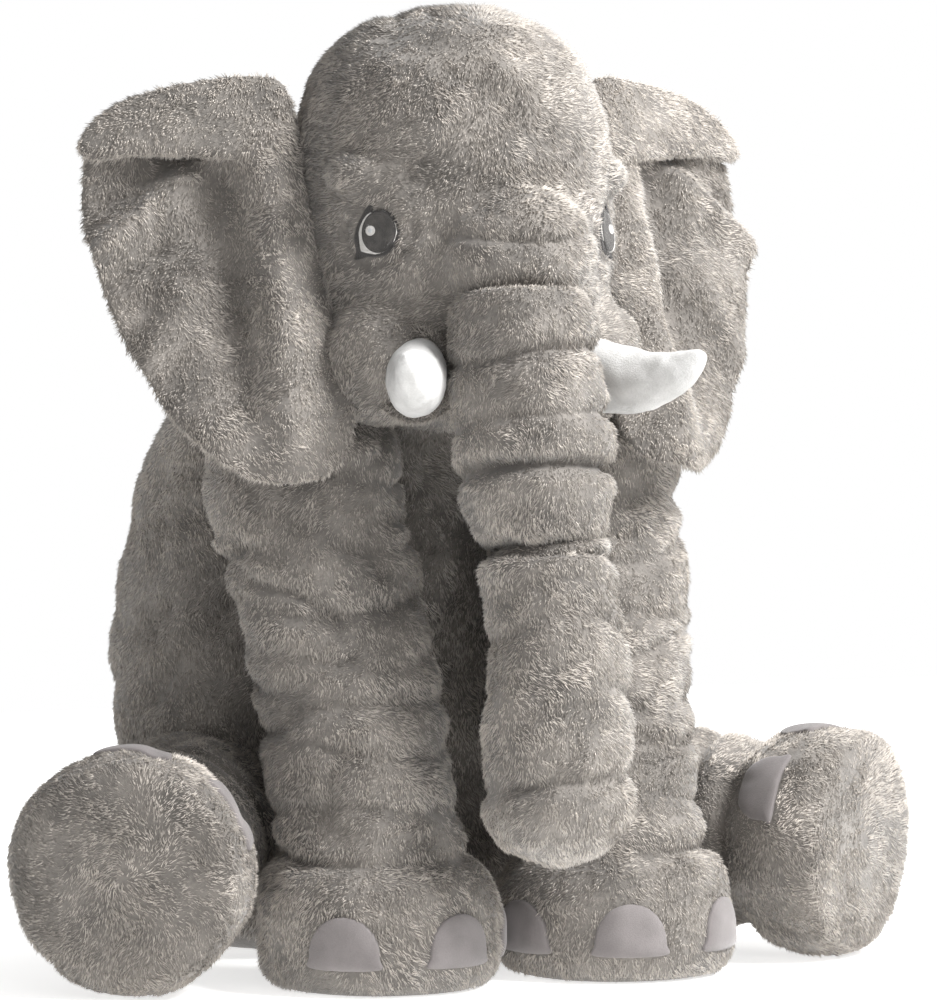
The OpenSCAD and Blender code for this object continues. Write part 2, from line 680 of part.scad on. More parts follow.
torso_back_panel();
torso_belly_panel();
torso_seat_panel();
torso_filling();
head_left_cheek();
head_right_cheek();
head_gusset();
head_filling();
eye_left_outline();
eye_left_white();
eye_left_iris();
eye_left_glint();
eye_right_outline();
eye_right_white();
eye_right_iris();
eye_right_glint();
tusk_left_cover();
tusk_left_filling();
tusk_left_collar();
tusk_right_cover();
tusk_right_filling();
tusk_right_collar();
ear_left_front_panel();
ear_left_back_panel();
ear_left_wadding();
ear_right_front_panel();
ear_right_back_panel();
ear_right_wadding();
trunk_upper_cover();
trunk_upper_filling();
trunk_lower_cover();
trunk_lower_stuffing();
trunk_nostril_pad();
foreleg_left_skin();
foreleg_left_filling();
foreleg_left_sole();
foreleg_left_toenail_1();
foreleg_left_toenail_2();
foreleg_left_toenail_3();
foreleg_right_skin();
foreleg_right_filling();
foreleg_right_sole();
foreleg_right_toenail_1();
foreleg_right_toenail_2();
foreleg_right_toenail_3();
hindleg_left_skin();
hindleg_left_filling();
hindleg_left_sole();
hindleg_left_toenail_1();
hindleg_left_toenail_2();
hindleg_left_toenail_3();
hindleg_right_skin();
hindleg_right_filling();
hindleg_right_sole();
hindleg_right_toenail_1();
hindleg_right_toenail_2();
hindleg_right_toenail_3();
tail();
tail_end_tuft();
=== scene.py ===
# Sitting plush elephant: sewn skins sculpted in code, a pile of tapered tufts on each, embroidered eyes, fleece
# tusks and felt toenails. Metres, +Z up, the elephant faces -Y and its left is +X.
import json
import math

import bpy
import numpy as np
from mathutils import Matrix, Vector
from mathutils.bvhtree import BVHTree


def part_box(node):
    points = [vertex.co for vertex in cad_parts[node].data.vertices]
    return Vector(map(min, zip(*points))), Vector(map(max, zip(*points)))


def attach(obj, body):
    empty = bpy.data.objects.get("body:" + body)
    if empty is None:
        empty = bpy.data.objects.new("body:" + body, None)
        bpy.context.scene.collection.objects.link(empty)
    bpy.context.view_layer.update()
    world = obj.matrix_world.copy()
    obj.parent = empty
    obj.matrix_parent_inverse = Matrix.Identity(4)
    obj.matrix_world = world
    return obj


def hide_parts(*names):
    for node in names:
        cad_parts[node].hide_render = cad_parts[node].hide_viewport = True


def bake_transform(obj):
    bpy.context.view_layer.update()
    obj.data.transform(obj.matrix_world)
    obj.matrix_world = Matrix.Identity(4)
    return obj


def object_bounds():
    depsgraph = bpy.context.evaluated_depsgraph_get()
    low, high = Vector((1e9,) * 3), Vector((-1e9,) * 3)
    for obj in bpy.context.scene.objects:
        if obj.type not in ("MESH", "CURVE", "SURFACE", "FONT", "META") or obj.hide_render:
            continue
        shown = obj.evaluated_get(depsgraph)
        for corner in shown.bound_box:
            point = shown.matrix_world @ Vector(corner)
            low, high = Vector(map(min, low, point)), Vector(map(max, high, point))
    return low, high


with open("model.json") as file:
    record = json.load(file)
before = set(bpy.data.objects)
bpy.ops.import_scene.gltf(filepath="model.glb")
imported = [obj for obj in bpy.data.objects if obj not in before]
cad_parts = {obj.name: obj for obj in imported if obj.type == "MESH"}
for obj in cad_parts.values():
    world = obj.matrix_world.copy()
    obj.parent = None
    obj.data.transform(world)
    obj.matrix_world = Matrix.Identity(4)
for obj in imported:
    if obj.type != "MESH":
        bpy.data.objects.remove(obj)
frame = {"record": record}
cad_box = [list(corner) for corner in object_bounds()]
joints = {j["name"]: j for j in frame["record"]["behaviour"]["joints"]}

MM = 0.001
SIDES = {"left": 1, "right": -1}


# ---------- numbers from the frame ----------
def joint_place(name):
    return np.array(joints[name]["pos_m"], float)


def box_of(*names):
    """Lowest and highest corners of some CAD nodes together."""
    corners = [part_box(n) for n in names]
    low = np.min([np.array(c[0]) for c in corners], axis=0)
    high = np.max([np.array(c[1]) for c in corners], axis=0)
    return low, high


def box_centre(*names):
    low, high = box_of(*names)
    return (low + high) / 2


# ---------- smooth random fields ----------
def lattice_value(i, j, k, seed):
    h = (i * 374761393 + j * 668265263 + k * 1440662683 + seed * 974634777) & 0xFFFFFFFF
    h = ((h ^ (h >> 13)) * 1274126177) & 0xFFFFFFFF
    h = h ^ (h >> 16)
    return (h & 0xFFFF) / 32767.5 - 1.0


def field(p, size, seed=0):
    """Smooth noise from -1 to 1 at points p, with features about size across."""
    q = p / size + 100.0
    i = np.floor(q).astype(np.int64)
    f = q - i
    f = f * f * (3 - 2 * f)
    total = np.zeros(len(p))
    for a in (0, 1):
        for b in (0, 1):
            for c in (0, 1):
                weight = (f[:, 0] if a else 1 - f[:, 0]) * (f[:, 1] if b else 1 - f[:, 1])
                weight = weight * (f[:, 2] if c else 1 - f[:, 2])
                total += weight * lattice_value(i[:, 0] + a, i[:, 1] + b, i[:, 2] + c, seed)
    return total


def crumple(p, size, seed, width=0.2):
    """Creases from 0 down to -1 that wander over a skin size apart and fade in and out."""
    wave = 0.72 * field(p, size, seed) + 0.28 * field(p, size / 2.2, seed + 1)
    depth = np.clip(0.55 + 0.9 * field(p, size * 1.3, seed + 2), 0, 1.2)
    return -depth * np.exp(-np.square(wave / width))


def unit(v):
    return v / np.maximum(np.linalg.norm(v, axis=-1, keepdims=True), 1e-9)


# ---------- meshes from arrays ----------
def mesh_object(name, points, faces, smooth=True):
    """A new object from an (n, 3) array and an (m, 3 or 4) array of vertex numbers."""
    mesh = bpy.data.meshes.new(name)
    per_face = faces.shape[1]
    mesh.vertices.add(len(points))
    mesh.vertices.foreach_set("co", np.asarray(points, np.float32).ravel())
    mesh.loops.add(faces.size)
    mesh.loops.foreach_set("vertex_index", faces.astype(np.int32).ravel())
    mesh.polygons.add(len(faces))
    mesh.polygons.foreach_set("loop_start", np.arange(0, faces.size, per_face, dtype=np.int32))
    mesh.polygons.foreach_set("use_smooth", np.full(len(faces), smooth))
    mesh.update(calc_edges=True)
    mesh.validate()
    obj = bpy.data.objects.new(name, mesh)
    bpy.context.scene.collection.objects.link(obj)
    return obj


def points_of(obj):
    co = np.empty(len(obj.data.vertices) * 3, np.float32)
    obj.data.vertices.foreach_get("co", co)
    return co.reshape(-1, 3).astype(float)


def normals_of(obj):
    no = np.empty(len(obj.data.vertices) * 3, np.float32)
    obj.data.vertex_normals.foreach_get("vector", no)
    return no.reshape(-1, 3).astype(float)


def move_points(obj, co):
    obj.data.vertices.foreach_set("co", np.asarray(co, np.float32).ravel())
    obj.data.update()


def loop_triangles(obj):
    """The vertex numbers of a mesh's triangles."""
    obj.data.calc_loop_triangles()
    tri = np.empty(len(obj.data.loop_triangles) * 3, np.int32)
    obj.data.loop_triangles.foreach_get("vertices", tri)
    return tri.reshape(-1, 3)


def tree_of(obj):
    """A search tree over a mesh's triangles."""
    return BVHTree.FromPolygons([Vector(p) for p in points_of(obj)], [tuple(t) for t in loop_triangles(obj)])


def curve_rows(rows, count):
    """Rows of numbers resampled to count rows along a smooth curve through them."""
    rows = np.asarray(rows, float)
    padded = np.vstack([2 * rows[0] - rows[1], rows, 2 * rows[-1] - rows[-2]])
    t = np.linspace(0, len(rows) - 1 - 1e-9, count)
    i = t.astype(int)
    f = (t - i)[:, None]
    a, b, c, d = (padded[i + k] for k in range(4))
    return 0.5 * (2 * b + (c - a) * f + (2 * a - 5 * b + 4 * c - d) * f ** 2 + (3 * b - a - 3 * c + d) * f ** 3)


def ring_grid(centres, across, upward, half_across, half_up, around, squareness=2.0):
    """A grid of points: one superellipse ring per centre, in the plane of its across and upward vectors."""
    turn = np.linspace(0, 2 * np.pi, around, endpoint=False)
    c = np.sign(np.cos(turn)) * np.abs(np.cos(turn)) ** (2 / squareness)
    s = np.sign(np.sin(turn)) * np.abs(np.sin(turn)) ** (2 / squareness)
    return (centres[:, None, :] + half_across[:, None, None] * c[None, :, None] * across[:, None, :]
            + half_up[:, None, None] * s[None, :, None] * upward[:, None, :])


def outward(points, faces):
    """A closed skin's triangles or quads, turned so that they face out."""
    centred = points - points.mean(axis=0)
    volume = 0.0
    for k in range(1, faces.shape[1] - 1):
        a, b, c = centred[faces[:, 0]], centred[faces[:, k]], centred[faces[:, k + 1]]
        volume += np.sum(a * np.cross(b, c))
    return faces if volume > 0 else faces[:, ::-1]


def tube_object(name, grid):
    """A closed skin over a grid of rings, with a point at each end."""
    rings, around, _ = grid.shape
    points = np.vstack([grid.reshape(-1, 3), grid[0].mean(axis=0), grid[-1].mean(axis=0)])
    i, k = np.meshgrid(np.arange(rings - 1), np.arange(around), indexing="ij")
    nxt = (k + 1) % around
    quads = np.stack([i * around + k, i * around + nxt, (i + 1) * around + nxt, (i + 1) * around + k], axis=-1)
    quads = quads.reshape(-1, 4)
    tris = np.vstack([quads[:, [0, 1, 2]], quads[:, [0, 2, 3]]])
    ring = np.arange(around)
    start = np.stack([np.full(around, rings * around), (ring + 1) % around, ring], axis=-1)
    last = (rings - 1) * around
    end = np.stack([np.full(around, rings * around + 1), last + ring, last + (ring + 1) % around], axis=-1)
    return mesh_object(name, points, outward(points, np.vstack([tris, start, end])))


def apply_modifiers(obj):
    """Replaces the object's mesh by its evaluated mesh."""
    graph = bpy.context.evaluated_depsgraph_get()
    done = bpy.data.meshes.new_from_object(obj.evaluated_get(graph))
    old = obj.data
    obj.modifiers.clear()
    obj.data = done
    bpy.data.meshes.remove(old)
    obj.data.polygons.foreach_set("use_smooth", np.ones(len(obj.data.polygons), bool))
    return obj


def fuse(name, parts, voxel, smoothing):
    """Joins closed meshes into one skin by voxel remeshing, then smooths it."""
    points, faces, offset = [], [], 0
    for part in parts:
        points.append(points_of(part))
        faces.append(loop_triangles(part) + offset)
        offset += len(part.data.vertices)
        bpy.data.objects.remove(part)
    obj = mesh_object(name, np.vstack(points), np.vstack(faces))
    remesh = obj.modifiers.new("remesh", "REMESH")
    remesh.mode = "VOXEL"
    remesh.voxel_size = voxel
    relax = obj.modifiers.new("relax", "SMOOTH")
    relax.factor = 0.5
    relax.iterations = smoothing
    return apply_modifiers(obj)


# How far each skin was pushed, from which its pile is painted darker in creases and lighter on bulges, as painted
# shade and light
painted_shade_depths = {}


def push(obj, amount):
    """Moves each point along its normal by amount(points, normals), and keeps how far, from which the pile gets
    painted shade in creases and painted light on bulges.
    """
    co, no = points_of(obj), normals_of(obj)
    painted_shade_depths[obj.name] = amount(co, no)
    move_points(obj, co + no * painted_shade_depths[obj.name][:, None])


def loft(name, rows, side, rings=150, around=140, squareness=2.0, level=False):
    """A closed skin along rows of x, y, z, half width, half depth, the half width lying along side. With level,
    every ring lies in the XY plane."""
    rows = curve_rows(rows, rings)
    centres = rows[:, :3]
    run = np.tile([0.0, 0.0, -1.0], (rings, 1)) if level else unit(np.gradient(centres, axis=0))
    side = np.asarray(side, float)
    across = unit(side - run * (run @ side)[:, None])
    other = np.cross(run, across)
    radii = np.maximum(rows[:, 3:5], 0.1 * MM)
    return tube_object(name, ring_grid(centres, across, other, radii[:, 0], radii[:, 1], around, squareness))


def ball(name, centre, radii, turns=48):
    """A closed ellipsoid."""
    height = np.cos(np.linspace(np.pi - 0.05, 0.05, turns))
    spread = np.sqrt(1 - height ** 2)
    centres = np.array(centre) + np.stack([0 * height, 0 * height, height * radii[2]], axis=1)
    across, other = np.tile([1.0, 0, 0], (turns, 1)), np.tile([0, 1.0, 0], (turns, 1))
    return tube_object(name, ring_grid(centres, across, other, spread * radii[0], spread * radii[1], turns * 2))


def wrinkle(along, across, where, depth, width, seed, wave=7 * MM):
    """Creases across a limb: a dip at each place in where, wandering by wave and fading out here and there.
    along is the distance down the limb, across the points the wandering is read from."""
    total = np.zeros(len(along))
    for k, place in enumerate(where):
        wander = wave * field(across, 60 * MM, seed + 7 * k)
        strength = np.clip(0.65 + 0.9 * field(across, 75 * MM, seed + 7 * k + 3), 0, 1.25)
        off = (along - place - wander) / width
        total += depth * strength * (0.45 * np.exp(-np.square(off / 2.6)) * np.abs(off / 2.6) * 1.6
                                     - np.exp(-np.square(off)))
    return total


# ---------- materials ----------
def principled(name):
    material = bpy.data.materials.new(name)
    material.use_nodes = True
    nodes, links = material.node_tree.nodes, material.node_tree.links
    return material, nodes, links, nodes["Principled BSDF"]


def cloth_material(name, dark, light, patch, grain, roughness=0.9, sheen=0.3, bump=0.4):
    """Fabric whose colour drifts between two tones over patches, with a fine grain in colour and bump. patch and
    grain are in metres."""
    material, nodes, links, shader = principled(name)
    place = nodes.new("ShaderNodeTexCoord")
    wide = nodes.new("ShaderNodeTexNoise")
    wide.inputs["Scale"].default_value = 1 / patch
    wide.inputs["Detail"].default_value = 4
    fine = nodes.new("ShaderNodeTexNoise")
    fine.inputs["Scale"].default_value = 1 / grain
    fine.inputs["Detail"].default_value = 3
    fine.inputs["Roughness"].default_value = 0.65
    both = nodes.new("ShaderNodeMath")
    both.operation = "MULTIPLY_ADD"
    both.inputs[1].default_value = 0.5
    ramp = nodes.new("ShaderNodeValToRGB")
    ramp.color_ramp.elements[0].position = 0.55
    ramp.color_ramp.elements[0].color = (*dark, 1)
    ramp.color_ramp.elements[1].position = 0.95
    ramp.color_ramp.elements[1].color = (*light, 1)
    bumps = nodes.new("ShaderNodeBump")
    bumps.inputs["Strength"].default_value = bump
    bumps.inputs["Distance"].default_value = 1.5 * MM
    links.new(place.outputs["Object"], wide.inputs["Vector"])
    links.new(place.outputs["Object"], fine.inputs["Vector"])
    links.new(fine.outputs["Fac"], both.inputs[0])
    links.new(wide.outputs["Fac"], both.inputs[2])
    links.new(both.outputs[0], ramp.inputs["Fac"])
    links.new(ramp.outputs["Color"], shader.inputs["Base Color"])
    links.new(fine.outputs["Fac"], bumps.inputs["Height"])
    links.new(bumps.outputs["Normal"], shader.inputs["Normal"])
    shader.inputs["Roughness"].default_value = roughness
    shader.inputs["Sheen Weight"].default_value = sheen
    shader.inputs["Sheen Roughness"].default_value = 0.5
    return material


def tuft_material(name, colour):
    """One shade of the pile: plain fibre, matt with a soft sheen."""
    material, _, _, shader = principled(name)
    shader.inputs["Base Color"].default_value = (*colour, 1)
    shader.inputs["Roughness"].default_value = 0.75
    shader.inputs["Specular IOR Level"].default_value = 0.25
    shader.inputs["Sheen Weight"].default_value = 0.25
    shader.inputs["Sheen Roughness"].default_value = 0.45
    return material


TAUPE = np.array([0.432, 0.394, 0.356])
SHADES = [0.44, 0.67, 0.93, 1.20, 1.46]
pile_shades = [tuft_material(f"pile_{i}", tuple(TAUPE * k)) for i, k in enumerate(SHADES)]
# The backing under the pile is painted far darker than the tufts, as painted shade in the gaps between them
backing_painted_shade = cloth_material("plush_backing_painted_shade", tuple(TAUPE * 0.22), tuple(TAUPE * 0.5), 0.03, 0.003)


# ---------- the pile ----------
PILE_DENSITY = 0.57         # tufts per square millimetre
PILE_LENGTH = 4.9 * MM
TUFT_WIDTH = 0.98 * MM
PILE_LIFT = 0.48            # radians off the skin
ROOT_DEPTH = 0.8 * MM       # how far a tuft starts inside the skin
FLOOR_CLEARANCE = 0.5 * MM  # how far the tips stay off the floor
CREASE_PAINTED_SHADE_DEPTH = 7 * MM      # a crease this deep paints its pile one shade darker, as painted shade; bulges paint it lighter
MOST_TUFTS = 49000          # in one piece


def pile(name, skin, flow, seed, density=PILE_DENSITY, length=PILE_LENGTH, width=TUFT_WIDTH, lift=PILE_LIFT,
         bare=None, tone=1.0, swirl=1.0, shades=None, loose=1.0, lighter=None):
    """Closed tapered tufts rooted all over a skin, as a list of objects. flow(p, n) is the way the pile lies, swirl
    how far it turns from that, lift how far it stands up, loose how unevenly, tone how much its shade drifts,
    bare(p, n) is true where nothing grows and lighter(p) is how many shades lighter the pile is painted as
    painted light, below zero darker as painted shade. Tufts are also painted darker in the skin's creases and
    lighter on its bulges, as painted shade and light."""
    shades = shades or pile_shades
    rng = np.random.default_rng(seed)
    co, no = points_of(skin), normals_of(skin)
    tri = loop_triangles(skin)
    a, b, c = co[tri[:, 0]], co[tri[:, 1]], co[tri[:, 2]]
    area = 0.5 * np.linalg.norm(np.cross(b - a, c - a), axis=1)
    count = int(area.sum() * 1e6 * density)
    chosen = np.searchsorted(np.cumsum(area) / area.sum(), rng.random(count))
    chosen = np.minimum(chosen, len(tri) - 1)
    u, v = rng.random(count), rng.random(count)
    flip = u + v > 1
    u[flip], v[flip] = 1 - u[flip], 1 - v[flip]
    w = 1 - u - v
    p = a[chosen] * w[:, None] + b[chosen] * u[:, None] + c[chosen] * v[:, None]
    n = unit(no[tri[chosen, 0]] * w[:, None] + no[tri[chosen, 1]] * u[:, None] + no[tri[chosen, 2]] * v[:, None])
    height = painted_shade_depths[skin.name][tri[chosen, 0]] if skin.name in painted_shade_depths else np.zeros(count)
    if bare is not None:
        keep = ~bare(p, n)
        p, n, height = p[keep], n[keep], height[keep]
        count = len(p)
    along = flow(p, n)
    along = unit(along - n * np.sum(along * n, axis=1, keepdims=True) + 1e-6)
    side = np.cross(n, along)
    patch = field(p, 34 * MM, seed)
    tufting = field(p, 9 * MM, seed + 3)
    clump = field(p, 3.4 * MM, seed + 4)
    turn = swirl * (1.25 * patch + 0.9 * tufting + 0.35 * clump) + rng.normal(0, 0.2, count)
    lie = along * np.cos(turn)[:, None] + side * np.sin(turn)[:, None]
    raised = lift + loose * (0.28 * field(p, 26 * MM, seed + 5) + 0.3 * clump + rng.normal(0, 0.12, count))
    raised = np.clip(raised, 0.04, 1.1)
    axis = unit(lie * np.cos(raised)[:, None] + n * np.sin(raised)[:, None])
    reach = length * (1 + 0.22 * field(p, 18 * MM, seed + 7) + rng.normal(0, 0.13, count))
    base = p - n * ROOT_DEPTH
    tip = base + axis * reach[:, None]
    tip[:, 2] = np.maximum(tip[:, 2], cad_box[0][2] + FLOOR_CLEARANCE)
    cross_a = unit(np.cross(axis, n))
    cross_b = np.cross(axis, cross_a)
    half = width * 0.5 * (0.8 + 0.4 * rng.random(count))
    spin = rng.random(count) * 2 * np.pi
    corners = []
    for k in range(3):
        angle = spin + k * 2 * np.pi / 3
        corners.append(base + half[:, None] * (cross_a * np.cos(angle)[:, None] + cross_b * np.sin(angle)[:, None]))
    points = np.stack(corners + [tip], axis=1)
    # Painted shade and light: tufts in the skin's creases are painted darker, tufts on its bulges lighter
    shade = (len(shades) - 1) / 2 + np.clip(height / CREASE_PAINTED_SHADE_DEPTH, -1.0, 0.6)
    shade = shade + tone * (0.7 * patch + 0.5 * tufting + 1.2 * clump) + rng.normal(0, 0.6, count)
    # painted light and shade from the caller, in whole shades
    if lighter is not None:
        shade = shade + lighter(p)
    shade = np.clip(np.round(shade), 0, len(shades) - 1).astype(np.int32)
    corner_faces = np.array([[0, 1, 3], [1, 2, 3], [2, 0, 3], [2, 1, 0]])
    objects = []
    parts = max(1, math.ceil(count / MOST_TUFTS))
    for k in range(parts):
        some = points[k::parts].reshape(-1, 3)
        first = np.arange(len(some) // 4)[:, None, None] * 4
        obj = mesh_object(f"{name}_{k + 1}", some, (first + corner_faces).reshape(-1, 3))
        for material in shades:
            obj.data.materials.append(material)
        obj.data.polygons.foreach_set("material_index", np.repeat(shade[k::parts], 4))
        obj.data.update()
        objects.append(obj)
    return objects


def along_flow(direction):
    """Pile that lies one way all over."""
    return lambda p, n: np.tile(direction, (len(p), 1))


down_flow = along_flow([0.0, 0.0, -1.0])


# ---------- the camera, the floor and the light ----------
def toward(azimuth, elevation):
    """The direction from the object to something at the given angles. Azimuth 0 is in front of its face."""
    a, e = math.radians(azimuth), math.radians(elevation)
    return Vector((math.sin(a) * math.cos(e), -math.cos(a) * math.cos(e), math.sin(e)))


def look(azimuth, elevation, distance, target):
    back = toward(azimuth, elevation)
    data = bpy.data.cameras.new("camera")
    camera = bpy.data.objects.new("camera", data)
    bpy.context.scene.collection.objects.link(camera)
    camera.location = Vector(target) + back * distance
    camera.rotation_euler = back.to_track_quat("Z", "Y").to_euler()
    bpy.context.scene.camera = camera
    return camera


CAMERA_AZIMUTH, CAMERA_ELEVATION, CAMERA_DISTANCE = -25, 3, 4.0
CAMERA_TARGET = (0.012, -0.156, 0.294)
VIEW_HEIGHT = 0.630         # what the camera sees at its target, in metres
camera = look(CAMERA_AZIMUTH, CAMERA_ELEVATION, CAMERA_DISTANCE, CAMERA_TARGET)
camera.data.lens = camera.data.sensor_width * CAMERA_DISTANCE / VIEW_HEIGHT

FLOOR_HALF = 1.7
floor = mesh_object("floor", np.array([[-1, -1, 0], [1, -1, 0], [1, 1, 0], [-1, 1, 0]]) * FLOOR_HALF,
                    np.array([[0, 1, 2, 3]]), smooth=False)
floor.location.z = cad_box[0][2]
floor_paint, _, _, floor_shader = principled("floor_paint")
floor_shader.inputs["Base Color"].default_value = (0.86, 0.86, 0.85, 1)
floor_shader.inputs["Roughness"].default_value = 0.9
floor_shader.inputs["Emission Color"].default_value = (1, 1, 1, 1)
floor_shader.inputs["Emission Strength"].default_value = 0.66
floor.data.materials.append(floor_paint)


LIGHT_TARGET = Vector((0, -0.1, 0.3))


def area_light(name, azimuth, elevation, distance, size, power):
    direction = toward(azimuth, elevation)
    data = bpy.data.lights.new(name, "AREA")
    data.shape = "DISK"
    data.size = size
    data.energy = power
    lamp = bpy.data.objects.new(name, data)
    bpy.context.scene.collection.objects.link(lamp)
    lamp.location = LIGHT_TARGET + direction * distance
    lamp.rotation_euler = direction.to_track_quat("Z", "Y").to_euler()


# name, azimuth, elevation, distance in metres, disk size in metres, watts
area_light("key", 40, 44, 2.2, 0.9, 98)
area_light("fill", -8, 20, 2.6, 1.6, 12)
area_light("rim", 140, 35, 2.2, 1.2, 12)
world = bpy.data.worlds.new("studio")
world.use_nodes = True
sky = world.node_tree.nodes
sky["Background"].inputs["Color"].default_value = (1, 1, 1, 1)
sky["Background"].inputs["Strength"].default_value = 0.36
backdrop = sky.new("ShaderNodeBackground")
seen = sky.new("ShaderNodeLightPath")
choose = sky.new("ShaderNodeMixShader")
backdrop.inputs["Color"].default_value = (1, 1, 1, 1)
backdrop.inputs["Strength"].default_value = 1.0
wire = world.node_tree.links.new
wire(seen.outputs["Is Camera Ray"], choose.inputs["Fac"])
wire(sky["Background"].outputs[0], choose.inputs[1])
wire(backdrop.outputs[0], choose.inputs[2])
wire(choose.outputs[0], sky["World Output"].inputs["Surface"])
bpy.context.scene.world = world
bpy.context.scene.view_settings.view_transform = "Standard"


# ---------- riding ----------
def follow(piece, bodies, start=None, end=None):
    """bodies is one body's name, which the piece is parented to, or two bodies, between which the piece is only
    fixed where it is, without bending from start to end.
    """
    if isinstance(bodies, str):
        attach(piece, bodies)
    else:
        tuple(start)
        tuple(end)
        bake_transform(piece)


def stuffed(skin, nodes, bodies, start=None, end=None, fill=0.8, slot="grey_plush"):
    """Gives a skin its backing cloth, darkened as painted shade under the pile, places it as follow does and hides
    the CAD nodes that it stands for.
    """
    skin.data.materials.clear()
    skin.data.materials.append(backing_painted_shade)
    follow(skin, bodies, start, end)
    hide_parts(*nodes)


def grow(name, skin, flow, seed, bodies, start=None, end=None, slot="grey_plush", **options):
    """Grows pile on a skin and lets it ride as the skin does."""
    for tufts in pile(name, skin, flow, seed, **options):
        follow(tufts, bodies, start, end)


# ---------- torso ----------
torso_low, torso_high = box_of("torso_back_panel", "torso_belly_panel", "torso_filling")
torso_half_width = (torso_high[0] - torso_low[0]) / 2
torso_top = torso_high[2]
torso_half_depth = torso_high[1]
BARE_HEIGHT = 2 * MM        # nothing grows on the seat below this


def torso_skin():
    shares = np.array([
        # height, half width and half depth as shares, the centre's distance forward as a share of the half depth
        [0.000, 0.10, 0.10, 0.00], [0.001, 0.45, 0.48, 0.00], [0.012, 0.70, 0.74, 0.00], [0.060, 0.91, 0.94, 0.00],
        [0.170, 1.00, 1.00, 0.00], [0.360, 1.01, 1.01, 0.01], [0.560, 1.01, 0.98, 0.10], [0.730, 0.99, 0.92, 0.32],
        [0.850, 0.89, 0.82, 0.51], [0.950, 0.65, 0.61, 0.65], [0.990, 0.36, 0.34, 0.71], [1.000, 0.05, 0.05, 0.72]])
    rows = np.stack([0 * shares[:, 0], -shares[:, 3] * torso_half_depth, shares[:, 0] * torso_top,
                     shares[:, 1] * torso_half_width, shares[:, 2] * torso_half_depth], axis=1)
    skin = loft("torso_skin", rows, (1, 0, 0), rings=150, around=280, squareness=2.1, level=True)

    def folds(p, n):
        sag = 4.5 * MM * field(p, 85 * MM, 11) + 2.4 * MM * field(p, 38 * MM, 12)
        slanted = p[:, 2] * 0.75 + np.abs(p[:, 0]) * 0.5 + p[:, 1] * 0.45
        drape = np.stack([slanted, p[:, 1] * 0.25, p[:, 0] * 0.25], axis=1)
        creases = 12 * MM * crumple(drape, 66 * MM, 14) + 5 * MM * crumple(p, 48 * MM, 17)
        return (sag + creases) * np.clip(p[:, 2] / (35 * MM), 0, 1)

    push(skin, folds)
    return skin


torso = torso_skin()
grow("torso_pile", torso, down_flow, 100, "torso", bare=lambda p, n: (n[:, 2] < -0.8) | (p[:, 2] < BARE_HEIGHT))
stuffed(torso, ["torso_back_panel", "torso_belly_panel", "torso_seat_panel", "torso_filling"], "torso")

# ---------- head ----------
head_low, head_high = box_of("head_left_cheek", "head_right_cheek", "head_gusset")
head_half = (head_high - head_low) / 2
head_mid = (head_low + head_high) / 2
trunk_root = joint_place("trunk_lift")
trunk_bend = joint_place("trunk_curl")
trunk_down = unit(trunk_bend - trunk_root)
MUZZLE_OFFSET = np.array([0, 13, 24]) * MM
MUZZLE_RADII = np.array([48, 41, 42]) * MM
CHEEK_RADII = np.array([36, 40, 42]) * MM
BROW_RADII = np.array([38, 26, 18]) * MM
NOSE_CREASE_UP = 33 * MM    # above the trunk's root


def head_skin():
    shares = np.array([
        # height from the chin, half width, half depth, distance of the centre forward
        [0.00, 0.05, 0.05, 0.05], [0.01, 0.40, 0.40, 0.05], [0.06, 0.67, 0.66, 0.04], [0.17, 0.88, 0.86, 0.03],
        [0.32, 0.98, 0.96, 0.02], [0.50, 0.99, 1.00, 0.00], [0.66, 0.96, 0.98, 0.00], [0.78, 0.90, 0.91, 0.01],
        [0.88, 0.76, 0.78, 0.02], [0.955, 0.54, 0.56, 0.02], [0.99, 0.27, 0.29, 0.02], [1.00, 0.05, 0.05, 0.02]])
    tall = head_high[2] - head_low[2]
    rows = np.stack([0 * shares[:, 0], head_mid[1] - shares[:, 3] * head_half[1], head_low[2] + shares[:, 0] * tall,
                     shares[:, 1] * head_half[0], shares[:, 2] * head_half[1] * 0.99], axis=1)
    skull = loft("skull", rows, (1, 0, 0), rings=120, around=160, squareness=2.15, level=True)
    lumps = [skull, ball("muzzle", trunk_root + MUZZLE_OFFSET, MUZZLE_RADII)]
    for side, s in SIDES.items():
        collar, eye = box_centre(f"tusk_{side}_collar"), box_centre(f"eye_{side}_outline")
        lumps.append(ball("cheek", collar + np.array([s * 2, 26, 4]) * MM, CHEEK_RADII))
        lumps.append(ball("brow", eye + np.array([-s * 14, 22, 34]) * MM, BROW_RADII))
    skin = fuse("head_skin", lumps, 2.6 * MM, 8)

    def folds(p, n):
        shape = 2.8 * MM * field(p, 52 * MM, 21) + 1.6 * MM * field(p, 24 * MM, 22)
        creases = 6.2 * MM * crumple(p * np.array([0.7, 0.7, 1.0]), 46 * MM, 24)
        for side, s in SIDES.items():
            eye = box_centre(f"eye_{side}_outline")
            away = p - (eye + np.array([s * 3, 0, 3]) * MM)
            ring = np.sqrt(away[:, 0] ** 2 + away[:, 1] ** 2 + (away[:, 2] * 1.1) ** 2)
            shape += -3.0 * MM * np.exp(-np.square((ring - 24 * MM) / (4 * MM))) * (away[:, 2] < 6 * MM)
            shape += -3.5 * MM * np.exp(-np.square(ring / (15 * MM)))
        front = np.exp(-np.square(p[:, 0] / (46 * MM))) * (p[:, 1] < head_mid[1] - 40 * MM)
        over = (p[:, 2] - (trunk_root[2] + NOSE_CREASE_UP)) - 0.10 * np.abs(p[:, 0])
        shape += (2.5 * MM * np.exp(-np.square((over + 14 * MM) / (11 * MM)))
                  - 5.0 * MM * np.exp(-np.square(over / (4.5 * MM)))) * front
        return shape + creases

    push(skin, folds)
    return skin


